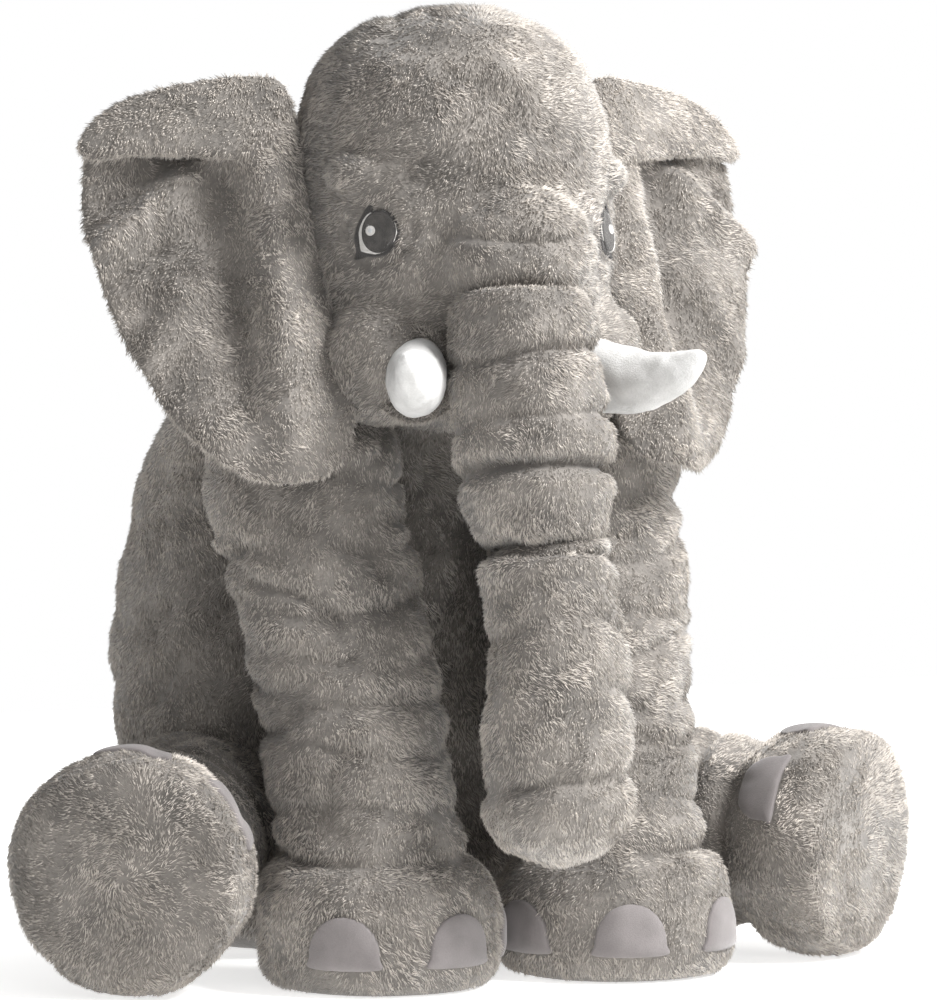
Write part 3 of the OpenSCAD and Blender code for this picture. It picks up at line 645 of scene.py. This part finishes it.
head_piece = head_skin()
head_tree = tree_of(head_piece)


def shell_point(tree, origin, direction):
    """Where a ray meets a skin, or its nearest point when the ray misses."""
    hit = tree.ray_cast(Vector(origin), Vector(direction))[0]
    if hit is None:
        hit = tree.find_nearest(Vector(origin))[0]
    return np.array(hit)


def patch_frame(tree, centre, s):
    """A patch's outward normal, its direction away from the middle of the body and its direction up."""
    _, normal, _, _ = tree.find_nearest(Vector(centre))
    out = np.array(normal)
    up = unit(np.array([0, 0, 1.0]) - out * out[2])
    away = np.cross(up, out)
    if away[0] * s < 0:
        away = -away
    return out, away, up


def patch(name, tree, centre, out, away, up, outline, rise, offset=0.0, rings=14, count=96, rim=1.0 * MM):
    """A padded patch over a skin: outline holds points in metres, away and up from the centre."""
    closed = np.vstack([outline, outline[:1]])
    length = np.concatenate([[0], np.cumsum(np.linalg.norm(np.diff(closed, axis=0), axis=1))])
    pick = np.linspace(0, length[-1], count, endpoint=False)
    edge = np.stack([np.interp(pick, length, closed[:, k]) for k in (0, 1)], axis=1)
    middle = edge.mean(axis=0)
    layers = [(0.97, -3.0 * MM), (1.0, -rim)]
    for share in np.cos(np.linspace(0.12, np.pi / 2 - 0.05, rings)):
        layers.append((share, offset + rise * math.sqrt(max(0.0, 1 - share ** 4))))
    grid = []
    for share, height in layers:
        flat = middle + (edge - middle) * share
        start = centre + out * 40 * MM + flat[:, :1] * away + flat[:, 1:] * up
        grid.append([shell_point(tree, q, -out) + out * height for q in start])
    return tube_object(name, np.array(grid))


def smooth_outline(points, count=120):
    """A closed outline in metres, curved through points given in millimetres."""
    points = np.array(points, float) * MM
    around = np.vstack([points[-2:], points, points[:2]])
    fine = curve_rows(around, count * 4)
    share = len(around) - 1
    first, last = int(count * 4 * 2 / share), int(count * 4 * (share - 1) / share)
    return fine[first:last:3]


def inside_outline(u, v, outline):
    """True where (u, v) lies inside a closed outline."""
    inside = np.zeros(len(u), bool)
    for (u1, v1), (u2, v2) in zip(outline, np.roll(outline, -1, axis=0)):
        crosses = (v1 > v) != (v2 > v)
        inside ^= crosses & (u < (u2 - u1) * (v - v1) / (v2 - v1 + 1e-12) + u1)
    return inside


def oval(u, v, half_u, half_v, lean=0.0):
    """An ellipse's outline in metres, from millimetres."""
    turn = np.linspace(0, 2 * np.pi, 72, endpoint=False)
    x, y = half_u * np.cos(turn), half_v * np.sin(turn)
    return np.stack([u + x * math.cos(lean) - y * math.sin(lean), v + x * math.sin(lean) + y * math.cos(lean)],
                    axis=1) * MM


# Eye shapes: away from the middle of the face, then up, from the centre of the iris
EYE_OUTLINE = np.array([(7.2, 16.6), (5.2, 15.6), (6.2, 12.8), (3.4, 12.4), (-2.8, 13.4), (-8.6, 11), (-12.4, 5.4),
                        (-13.6, -0.4), (-12.4, -6), (-9.2, -10.8), (-3.6, -14.2), (3.2, -15.4), (11, -14.8),
                        (18.6, -17), (18.2, -9), (17.8, -3), (16.6, 2), (14.6, 6.4), (11.6, 11), (9.4, 14.4)]) * MM
EYE_WHITE = np.array([(6.4, 11.6), (2.8, 11.4), (-2.6, 12.2), (-7.6, 9.8), (-11.0, 4.8), (-12.1, -0.4),
                      (-10.8, -5.2), (-7.8, -9.4), (-3.2, -12.6), (2.6, -13.9), (8.6, -13.1), (12.8, -12),
                      (13.4, -7.6), (13.9, -3.4), (14.2, -1), (13.4, 3), (11.4, 7), (9.0, 10)]) * MM
EYE_RIM = oval(0.2, -0.2, 11.7, 13.0, 0.12)
EYE_IRIS = oval(0.2, -0.2, 10.9, 12.2, 0.12)
EYE_GLINT = oval(5.8, 0.4, 3.1, 3.1)
EYE_GLINT_CORE = oval(5.8, 0.4, 1.5, 1.5)


def thread(name, dark, light, roughness):
    return cloth_material(name, dark, light, 4 * MM, 0.7 * MM, roughness, 0.2, 0.8)


def stitch_shades(name, levels, green=1.0, blue=1.0):
    return [tuft_material(f"{name}_stitch_{i}", (k, k * green, k * blue)) for i, k in enumerate(levels)]


dark_thread = thread("dark_thread", (0.018, 0.016, 0.015), (0.045, 0.04, 0.038), 0.55)
iris_thread = thread("iris_thread", (0.03, 0.027, 0.025), (0.075, 0.068, 0.062), 0.55)
white_thread = thread("white_thread", (0.50, 0.48, 0.45), (0.72, 0.70, 0.68), 0.6)
glint_thread = thread("glint_thread", (0.40, 0.41, 0.42), (0.62, 0.63, 0.64), 0.5)
dark_stitches = stitch_shades("dark", (0.014, 0.026, 0.045), 0.93, 0.88)
white_stitches = stitch_shades("white", (0.50, 0.62, 0.74), 0.97, 0.94)
iris_stitches = stitch_shades("iris", (0.028, 0.05, 0.08), 0.93, 0.88)
glint_stitches = stitch_shades("glint", (0.60, 0.70, 0.80))
EYE_LAYERS = [
    # name, outline, how far it bulges and starts over the skin in mm, cloth, slot, stitches, replaces a CAD node
    ("outline", EYE_OUTLINE, 1.2, 0.4, dark_thread, "dark_thread", dark_stitches, True),
    ("white", EYE_WHITE, 0.7, 1.4, white_thread, "white_thread", white_stitches, True),
    ("rim", EYE_RIM, 0.6, 1.9, dark_thread, "dark_thread", dark_stitches, False),
    ("iris", EYE_IRIS, 0.8, 2.1, iris_thread, "iris_thread", iris_stitches, True),
    ("glint", EYE_GLINT, 0.5, 3.0, white_thread, "white_thread", glint_stitches, True),
    ("glint_core", EYE_GLINT_CORE, 0.4, 3.3, glint_thread, "glint_thread", None, False)]

eye_frames = []
for side, s in SIDES.items():
    eye = box_centre(f"eye_{side}_outline")
    out, away, up = patch_frame(head_tree, eye, s)
    eye_frames.append((eye, away, up))
    for k, (layer, outline, rise, offset, cloth, slot, shades, in_cad) in enumerate(EYE_LAYERS):
        piece = patch(f"eye_{side}_{layer}_stitching", head_tree, eye, out, away, up, outline, rise * MM, offset * MM)
        piece.data.materials.append(cloth)
        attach(piece, "head")
        if in_cad:
            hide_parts(f"eye_{side}_{layer}")
        if shades is None:
            continue

        def stitch_flow(p, n):
            if layer in ("outline", "rim"):
                return np.cross(p - eye, out)
            return np.tile(up - 0.45 * away if layer == "iris" else up + 0.2 * away, (len(p), 1))

        grow(f"eye_{side}_{layer}_stitches", piece, stitch_flow, 900 + k, "head", slot=slot,
             density=3.4, length=2.6 * MM, width=0.5 * MM, lift=0.08, swirl=0.08, loose=0.08,
             shades=shades, bare=lambda p, n: (n @ out) < 0.5)


def under_patches(frames, outline, radius):
    """A test of which points lie under patches. frames holds each one's centre and its away and up directions."""
    def covered(p, n):
        hidden = np.zeros(len(p), bool)
        for at, away, up in frames:
            u, v = (p - at) @ away, (p - at) @ up
            near = np.linalg.norm(p - at, axis=1) < radius
            hidden[np.flatnonzero(near)[inside_outline(u[near], v[near], outline * 0.97)]] = True
        return hidden
    return covered


def head_flow(p, n):
    """The face's pile lies down and away from the trunk's root."""
    away = p - trunk_root
    down = np.tile([0.0, 0.0, -1.0], (len(p), 1))
    aside = np.tanh(p[:, 0] / (50 * MM))
    return unit(away) * 0.45 + down * 0.8 + np.stack([aside * 0.35, 0 * aside, 0 * aside], axis=1)


grow("head_pile", head_piece, head_flow, 200, "head", bare=under_patches(eye_frames, EYE_OUTLINE, 30 * MM))
stuffed(head_piece, ["head_left_cheek", "head_right_cheek", "head_gusset", "head_filling"], "head")

# ---------- tusks ----------
fleece = cloth_material("tusk_fleece", (0.50, 0.495, 0.485), (0.66, 0.655, 0.645), 0.012, 0.0012, 0.85, 0.2, 0.35)
TUSK_ROWS = [(-0.12, 0.5), (-0.10, 20), (0.05, 22.5), (0.25, 21.6), (0.5, 18.4), (0.72, 14.3), (0.88, 10.8),
             (0.98, 8.2), (1.05, 4.4), (1.075, 0.4)]  # share of the way to the tip, radius in mm
TUSK_BOW = np.array([0, -6, -10]) * MM
TUSK_INWARD = {"left": 6, "right": 10}      # root's distance nearer the trunk than in CAD, in mm
TUSK_SHORTER = {"left": 20, "right": 19}    # tip's distance inside the cover's box, in mm
RUFF_RADIUS, RUFF_THICK, RUFF_LONG = 23.5, 5, 6.5   # in mm
RUFF_TALLER = 1.08
RUFF_TURNS, RUFF_AROUND = 96, 24


def ruff_object(name, root, aim):
    """A fat oval ring round a tusk's root."""
    lift_up = unit(np.array([0, 0, 1.0]) - aim * aim[2])
    sideways = np.cross(aim, lift_up)
    points, faces = [], []
    for t in np.linspace(0, 2 * np.pi, RUFF_TURNS, endpoint=False):
        spoke = lift_up * math.cos(t) * RUFF_TALLER + sideways * math.sin(t)
        centre = root + aim * 1 * MM + spoke * RUFF_RADIUS * MM
        for q in np.linspace(0, 2 * np.pi, RUFF_AROUND, endpoint=False):
            points.append(centre + unit(spoke) * math.cos(q) * RUFF_THICK * MM + aim * math.sin(q) * RUFF_LONG * MM)
    for i in range(RUFF_TURNS):
        here, there = i * RUFF_AROUND, ((i + 1) % RUFF_TURNS) * RUFF_AROUND
        for k in range(RUFF_AROUND):
            nxt = (k + 1) % RUFF_AROUND
            faces.append([here + k, here + nxt, there + nxt, there + k])
    points = np.array(points)
    return mesh_object(name, points, outward(points, np.array(faces)))


def tusk_folds(p, n):
    return 0.9 * MM * field(p, 16 * MM, 31) + 0.5 * MM * field(p, 7 * MM, 32) + 0.6 * MM * crumple(p, 22 * MM, 33)


for side, s in SIDES.items():
    root = box_centre(f"tusk_{side}_collar") + np.array([-s * TUSK_INWARD[side], -3, -5]) * MM
    low, high = box_of(f"tusk_{side}_cover")
    outer = high[0] if s > 0 else low[0]
    tip = np.array([outer - s * TUSK_SHORTER[side] * MM, low[1] + 9 * MM, root[2] + 9 * MM])
    run = tip - root
    rows = []
    for share, r in TUSK_ROWS:
        at = root + run * share + TUSK_BOW * 4 * share * (1 - share)
        rows.append([*at, r * MM, r * 0.86 * MM])
    tusk = loft(f"tusk_{side}_fleece", rows, (0, 0, 1), rings=110, around=90)
    push(tusk, tusk_folds)
    tusk.data.materials.append(fleece)
    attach(tusk, "head")
    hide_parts(f"tusk_{side}_cover", f"tusk_{side}_filling")
    aim = unit(run)
    collar = ruff_object(f"tusk_{side}_ruff", root, aim)
    push(collar, lambda p, n: 1.0 * MM * field(p, 14 * MM, 35))

    def ruff_flow(p, n):
        return unit(p - root) * 0.5 + aim * 0.9

    grow(f"tusk_{side}_ruff_pile", collar, ruff_flow, 300, "head", density=0.75, length=6 * MM, lift=0.7)
    stuffed(collar, [f"tusk_{side}_collar"], "head", fill=0.7)

# ---------- trunk ----------
# All distances here are in millimetres down from the trunk's root
TRUNK_RINGS = [39, 77, 110, 159]
TRUNK_LOWER_RINGS = [205, 250, 298]
TRUNK_RADII = np.array([[-40, 42], [0, 44], [20, 45], [50, 45], [80, 47.5], [115, 45.5], [150, 41.5], [185, 40],
                        [215, 41.5], [250, 43], [290, 44.5], [317, 45], [345, 43]])
TOP_ROUNDING, TIP_ROUNDING = 18, 40


def trunk_sway(d):
    """How far the trunk's middle line lies to the side: a slow wave, and the tip towards the elephant's right."""
    wave = 5 * math.sin((d - 110) / 75.0) * min(1.0, max(0.0, d / 40.0))
    return wave - 6 * max(0.0, d / 100 - 2.1) ** 1.3


def trunk_skin(name, first, last):
    """A length of the trunk from first to last, with round ends."""
    rows = []
    for d in np.linspace(first, last, 34):
        r = float(np.interp(d, TRUNK_RADII[:, 0], TRUNK_RADII[:, 1])) * MM
        if last - d < TIP_ROUNDING:
            r *= math.sqrt(max(0.0, 1 - ((TIP_ROUNDING - (last - d)) / TIP_ROUNDING) ** 2.6))
        if d - first < TOP_ROUNDING:
            r *= 0.45 + 0.55 * math.sqrt(max(0.0, 1 - ((TOP_ROUNDING - (d - first)) / TOP_ROUNDING) ** 2))
        sway = np.array([trunk_sway(d), 0, 0]) * MM
        rows.append([*(trunk_root + trunk_down * d * MM + sway), r, r * 0.97])
    skin = loft(name, rows, (1, 0, 0), rings=int((last - first) / 1.4), around=230, squareness=2.15)

    def folds(p, n):
        along = (p - trunk_root) @ trunk_down
        level = np.stack([p[:, 0], p[:, 1], 0.25 * p[:, 2]], axis=1)
        rings = wrinkle(along, level, [d * MM for d in TRUNK_RINGS], 6.5 * MM, 5.5 * MM, 41, wave=8 * MM)
        lower = wrinkle(along, level, [d * MM for d in TRUNK_LOWER_RINGS], 5 * MM, 7 * MM, 45, wave=14 * MM)
        uneven = field(p, 62 * MM, 44)
        rings = rings * np.clip(0.95 + 0.6 * uneven, 0.6, 1.25)
        lower = lower * np.clip(0.6 + 1.3 * uneven, 0.1, 1.3)
        lumps = 3.0 * MM * field(p, 42 * MM, 47) + 1.6 * MM * field(p, 20 * MM, 48)
        puckers = 3.5 * MM * crumple(p * np.array([0.45, 0.45, 1.0]), 34 * MM, 49)
        return rings + lower + lumps + puckers * np.clip(along / (170 * MM), 0, 1)

    push(skin, folds)
    return skin


trunk_flow = along_flow(trunk_down)
trunk_length = (trunk_root[2] - box_of("trunk_lower_cover")[0][2]) / -trunk_down[2] / MM
bend_at = float((trunk_bend - trunk_root) @ trunk_down) / MM
split = float(min(TRUNK_RINGS, key=lambda d: abs(d - bend_at)))
upper_piece = trunk_skin("trunk_upper_skin", -5, split + 6)
lower_piece = trunk_skin("trunk_lower_skin", split - 8, trunk_length)
root_bend = dict(bodies=("head", "trunk_upper"), start=trunk_root - trunk_down * 22 * MM,
                 end=trunk_root + trunk_down * 62 * MM)
curl_bend = dict(bodies=("trunk_upper", "trunk_lower"), start=trunk_bend - trunk_down * 38 * MM,
                 end=trunk_bend + trunk_down * 38 * MM)
grow("trunk_upper_pile", upper_piece, trunk_flow, 400, **root_bend)
grow("trunk_lower_pile", lower_piece, trunk_flow, 410, **curl_bend)
stuffed(upper_piece, ["trunk_upper_cover", "trunk_upper_filling"], **root_bend)
stuffed(lower_piece, ["trunk_lower_cover", "trunk_lower_stuffing", "trunk_nostril_pad"], **curl_bend)

# ---------- ears ----------
EAR_OUTLINE = smooth_outline([(-8, -20), (6, 4), (45, 8), (95, 4), (124, -20), (134, -70), (126, -125), (112, -175),
                              (92, -218), (62, -250), (28, -260), (0, -249), (-15, -215), (-13, -168), (-8, -92)], 160)
EAR_FOLD = smooth_outline([(-5, -30), (0, 4), (45, 11), (95, 6), (122, -8), (131, -26), (118, -33), (100, -33),
                           (60, -41), (25, -48), (4, -48)], 120)


EAR_MIDDLE, FOLD_MIDDLE = np.array([0.058, -0.125]), np.array([0.058, -0.020])
EAR_HALF_THICK = 5.5 * MM


def pillow(name, outline, plane, middle, half_thick, bend, rings=26):
    """A stuffed flat shape. plane(x, z, y) puts a point in the world, bend(x, z) shifts the whole thickness."""
    grid = []
    for k in range(rings + 1):
        a = -np.pi / 2 + np.pi * k / rings
        flat = middle + (outline - middle) * max(0.02, math.cos(a)) ** 0.55
        level = math.sin(a)
        y = half_thick * np.sign(level) * abs(level) ** 0.8 + bend(flat[:, 0], flat[:, 1])
        grid.append(plane(flat[:, 0], flat[:, 1], y))
    return tube_object(name, np.array(grid))


EAR_SWEEP = math.radians(20)
EAR_LEAN = {"left": 0.09, "right": 0.0}     # how far the lower part slants inward
for side, s in SIDES.items():
    hinge = joint_place(f"ear_{side}_flap")
    axis = np.array(joints[f"ear_{side}_flap"]["axis"], float)
    ear_down = unit(axis if axis[2] < 0 else -axis)
    out_flat = np.array([s * 1.0, 0, 0])
    behind = np.cross(ear_down, out_flat) * -s
    if behind[1] < 0:
        behind = -behind
    ear_out = out_flat * math.cos(EAR_SWEEP) + behind * math.sin(EAR_SWEEP)
    ear_back = behind * math.cos(EAR_SWEEP) - out_flat * math.sin(EAR_SWEEP)

    def plane(x, z, y):
        x = x - EAR_LEAN[side] * np.maximum(0, -z - 90 * MM)
        return hinge + x[:, None] * ear_out - z[:, None] * ear_down + y[:, None] * ear_back

    def drape(x, z):
        """A soft roll beside the seam, a hollow past it and two ridges that fan out from the seam's top."""
        down = -z
        begins, ends = np.clip((down - 20 * MM) / (35 * MM), 0, 1), np.clip((240 * MM - down) / (90 * MM), 0, 1)
        roll = -13 * MM * np.exp(-np.square((x - 13 * MM - 0.06 * down) / (19 * MM))) * begins
        hollow = 13 * MM * np.exp(-np.square((x - 46 * MM - 0.04 * down) / (16 * MM))) * begins * ends
        first = (down - 10 * MM - 0.66 * (x - 5 * MM)) * 0.83
        second = (down - 22 * MM - 1.45 * (x - 8 * MM)) * 0.57
        ridges = -10 * MM * np.exp(-np.square(first / (9 * MM))) - 6.5 * MM * np.exp(-np.square(second / (12 * MM)))
        under = 8 * MM * np.exp(-np.square((first + 22 * MM) / (12 * MM)))
        lobe = -6 * MM * np.exp(-np.square((z + 225 * MM) / (45 * MM)))
        wave = 4.5 * MM * np.sin(x / (21 * MM) + z / (60 * MM) + 0.8 * s)
        edge = 3 * MM * np.square(x / (130 * MM))
        return roll + hollow + (ridges + under) * np.clip(x / (25 * MM), 0, 1) + lobe + wave + edge

    sheet = pillow("sheet", EAR_OUTLINE, plane, EAR_MIDDLE, EAR_HALF_THICK, drape)
    fold = pillow("fold", EAR_FOLD, plane, FOLD_MIDDLE, EAR_HALF_THICK,
                  lambda x, z: -11 * MM - 5 * MM * np.clip(-z / (50 * MM), 0, 1) + 4 * MM * np.square(x / (130 * MM)))
    ear = fuse(f"ear_{side}_skin", [sheet, fold], 2.4 * MM, 3)

    def ear_folds(p, n):
        x, z = (p - hinge) @ ear_out, -((p - hinge) @ ear_down)
        fan = np.stack([np.arctan2(x + 25 * MM, -z + 30 * MM) * 0.09, np.hypot(x, z) * 0.22, 0 * x + s], axis=1)
        return (1.8 * MM * crumple(fan, 30 * MM, 53) + 1.6 * MM * field(p, 34 * MM, 55)) * (z < -52 * MM)

    push(ear, ear_folds)

    def ear_flow(p, n):
        return ear_down * 0.9 + unit(p - hinge) * 0.7

    hang = dict(bodies=("head", f"ear_{side}"), start=hinge - ear_out * 8 * MM, end=hinge + ear_out * 26 * MM)

    # Painted light and shade on the ear's pile: the upturned flap and the pile above the hinge are painted lighter
    # where light falls, the drape's hollows darker as painted shade and its ridges lighter as painted light
    def flap_lighter(p):
        x, z, y = (p - hinge) @ ear_out, -((p - hinge) @ ear_down), (p - hinge) @ ear_back
        on_flap = inside_outline(x, z, EAR_FOLD) & (y < -7 * MM) | (z > 0)
        return np.where(on_flap, 0.9, np.clip(-drape(x, z) / (12 * MM), -0.9, 0.7))

    grow(f"ear_{side}_pile", ear, ear_flow, 500 + s, slot="ear_plush", lighter=flap_lighter, tone=0.8, **hang)
    stuffed(ear, [f"ear_{side}_front_panel", f"ear_{side}_back_panel", f"ear_{side}_wadding"], fill=0.5,
            slot="ear_plush", **hang)

# ---------- toenails ----------
felt = cloth_material("toenail_felt", (0.145, 0.130, 0.128), (0.200, 0.181, 0.179), 0.02, 0.0008, 0.8, 0.3, 0.25)
NAIL = smooth_outline([(-21, -15), (21, -15), (22.5, -8), (20, 4), (12, 13.5), (0, 17), (-12, 13.5), (-20, 4),
                       (-22.5, -8)], 120)


BARE_SOLE = 3 * MM          # nothing grows on the soles below this


def toenails(leg, tree, shift, up_hint):
    """Sews three toenails on a foot's skin. The result is a test of where no pile grows on that foot."""
    frames = []
    for k in (1, 2, 3):
        node = f"{leg}_toenail_{k}"
        hit, normal, _, _ = tree.find_nearest(Vector(box_centre(node) + shift))
        at, out = np.array(hit), unit(np.array(normal))
        up = unit(up_hint - out * (up_hint @ out))
        away = np.cross(up, out)
        piece = patch(f"{node}_felt", tree, at, out, away, up, NAIL, 2.0 * MM, 1.4 * MM, rings=12, rim=0.0)
        piece.data.materials.append(felt)
        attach(piece, leg)
        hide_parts(node)
        frames.append((at, away, up))
    under_nails = under_patches(frames, NAIL, 32 * MM)
    return lambda p, n: under_nails(p, n) | (p[:, 2] < BARE_SOLE)


# ---------- forelegs ----------
FORELEG_TOP = [(0, 0.3), (2, 22), (12, 45), (32, 59)]       # mm below the top, radius in mm
FORELEG_SHANK = [(0.0, 61), (0.25, 60), (0.5, 58), (0.75, 56.5), (0.92, 55.5)]     # share of the way to the ankle
FORELEG_FOOT = [(77, 58), (69, 65), (56, 71.5), (40, 74), (22, 74), (8, 70), (1.5, 62), (0.3, 50), (0.0, 3)]
ANKLE_HEIGHT = 76 * MM
FORELEG_BANDS = [0.262, 0.232, 0.205, 0.172, 0.143, 0.110]  # heights of the creases in metres
for side, s in SIDES.items():
    leg = f"foreleg_{side}"
    shoulder = joint_place(f"{leg}_swing")
    foot = box_centre(f"{leg}_sole")
    top = box_of(f"{leg}_skin")[1][2] + 6 * MM
    rows = [[*shoulder[:2], top - down * MM, r, r] for down, r in FORELEG_TOP]
    for share, r in FORELEG_SHANK:
        at = shoulder + (np.array([foot[0], foot[1], ANKLE_HEIGHT]) - shoulder) * share
        rows.append([*at, r, r])
    for z, r in FORELEG_FOOT:
        rows.append([foot[0], foot[1], z * MM, r, r])
    rows = np.array(rows)
    rows[:, 3:] *= MM
    skin = loft(f"{leg}_stuffed", rows, (1, 0, 0), rings=250, around=250, squareness=2.05, level=True)

    def folds(p, n):
        level = np.stack([p[:, 0] + s, p[:, 1], 0.2 * p[:, 2]], axis=1)
        bands = wrinkle(p[:, 2], level, FORELEG_BANDS, 4.0 * MM, 5.5 * MM, 60 + s, wave=13 * MM)
        ankle = wrinkle(p[:, 2], level, [0.082], 5.5 * MM, 5.0 * MM, 70 + s, wave=4 * MM)
        lumps = 3.4 * MM * field(p + s, 52 * MM, 72) + 1.8 * MM * field(p + s, 24 * MM, 73)
        creases = 7.0 * MM * crumple((p + s) * np.array([0.5, 0.5, 1.0]), 32 * MM, 74)
        above = np.clip((p[:, 2] - 80 * MM) / (30 * MM), 0.2, 1)
        return (bands + ankle + lumps + creases * above) * np.clip(p[:, 2] / (26 * MM), 0, 1)

    push(skin, folds)
    bare_foot = toenails(leg, tree_of(skin), np.zeros(3), np.array([0, 0, 1.0]))
    swing = dict(bodies=("torso", leg), start=shoulder + np.array([0, 0, 40 * MM]),
                 end=shoulder - np.array([0, 0, 55 * MM]))
    grow(f"{leg}_pile", skin, down_flow, 600 + s, bare=bare_foot, **swing)
    stuffed(skin, [f"{leg}_skin", f"{leg}_filling", f"{leg}_sole"], **swing)

# ---------- hind legs ----------
HINDLEG_ROWS = [(-40, 0.3), (-38, 24), (-22, 46), (0, 59), (40, 62), (100, 62), (150, 60.5), (186, 58), (202, 58.5),
                (214, 66), (230, 72.5), (248, 74), (262, 72.5), (270, 67), (272.5, 58), (273, 40), (273.2, 2)]
HINDLEG_DRAWN = 273         # the rows past the thigh are placed from the sole, which they draw this far down, in mm
THIGH_ENDS = 50
HINDLEG_BANDS = (0.173, 0.138, 0.108)   # the creases' distances from the sole in metres
HIND_NAIL_BACK = 18         # how much nearer the hip the toenails sit than in the CAD, in mm
for side, s in SIDES.items():
    leg = f"hindleg_{side}"
    hip = joint_place(f"{leg}_lift")
    sole = box_centre(f"{leg}_sole")
    reach = np.linalg.norm(sole - hip)
    aim = (sole - hip) / reach
    rows = []
    for d, r in HINDLEG_ROWS:
        place = d * MM if d < THIGH_ENDS else (d - HINDLEG_DRAWN) * MM + reach
        rows.append([*(hip + aim * place), r * MM, r * MM])
    skin = loft(f"{leg}_stuffed", rows, (0, 0, 1), rings=240, around=250)

    def folds(p, n):
        along = (p - hip) @ aim
        spread = (p - hip) - along[:, None] * aim + 0.2 * along[:, None] * aim
        bands = wrinkle(along, spread + s, [reach - k for k in HINDLEG_BANDS], 4.5 * MM, 6 * MM, 80 + s,
                        wave=10 * MM)
        ankle = wrinkle(along, spread + s, [reach - 75 * MM], 5.5 * MM, 6 * MM, 85 + s, wave=3 * MM)
        lumps = (3.2 * MM * field(p + s, 50 * MM, 87) + 1.8 * MM * field(p + s, 24 * MM, 88)
                 + 3.5 * MM * crumple(p + s, 46 * MM, 89))
        rest = np.clip((reach - along) / (14 * MM), 0.15, 1)
        return (bands + ankle + lumps) * rest * np.clip(p[:, 2] / (22 * MM), 0, 1)

    push(skin, folds)
    resting = points_of(skin)
    resting[:, 2] = np.maximum(resting[:, 2], cad_box[0][2] + 0.8 * MM)
    move_points(skin, resting)
    bare_foot = toenails(leg, tree_of(skin), aim * -HIND_NAIL_BACK * MM, -aim)

    def leg_flow(p, n):
        on_sole = ((p - sole) @ aim > -4 * MM)[:, None]
        return np.where(on_sole, unit(p - sole) + np.array([0, 0, -0.6]), aim * 0.8 + np.array([0, 0, -0.35]))

    lift_bend = dict(bodies=("torso", leg), start=hip + aim * 20 * MM, end=hip + aim * 95 * MM)
    grow(f"{leg}_pile", skin, leg_flow, 700 + s, bare=bare_foot, **lift_bend)
    stuffed(skin, [f"{leg}_skin", f"{leg}_filling", f"{leg}_sole"], **lift_bend)

# ---------- tail ----------
TAIL_CLEARANCE = np.array([0, 3 * MM, 0])   # out from the back's pile
CORD_ROWS = [(-0.12, 0.3), (-0.10, 6), (0.0, 8), (0.3, 7.5), (0.6, 7.0), (0.85, 6.6), (0.95, 6.4), (1.0, 0.3)]
TUFT_ROWS = [(-1.0, 0.3), (-0.9, 5.5), (-0.5, 9.5), (0.1, 11), (0.6, 8.5), (0.9, 4), (1.0, 0.3)]
TUFT_HALF_LONG = 15
tail_tip = box_centre("tail_end_tuft") + TAIL_CLEARANCE
tail_start = joint_place("tail_swing") + TAIL_CLEARANCE
tail_run = unit(tail_tip - tail_start)
tail_length = np.linalg.norm(tail_tip - tail_start)
tail_flow = along_flow(tail_run)
rows = [[*(tail_start + tail_run * share * tail_length), r * MM, r * MM] for share, r in CORD_ROWS]
tail_piece = loft("tail_cord", rows, (1, 0, 0), rings=90, around=60)
push(tail_piece, lambda p, n: 0.7 * MM * field(p, 14 * MM, 91))
grow("tail_pile", tail_piece, tail_flow, 800, "tail", density=0.6, length=6 * MM, width=1.0 * MM, lift=0.5)
stuffed(tail_piece, ["tail"], "tail")
rows = [[*(tail_tip + tail_run * share * TUFT_HALF_LONG * MM), r * MM, r * MM] for share, r in TUFT_ROWS]
tuft_piece = loft("tail_tuft_core", rows, (1, 0, 0), rings=60, around=60)
grow("tail_tuft_pile", tuft_piece, tail_flow, 810, "tail", density=1.2, length=12 * MM, width=1.2 * MM, lift=0.35)
stuffed(tuft_piece, ["tail_end_tuft"], "tail")
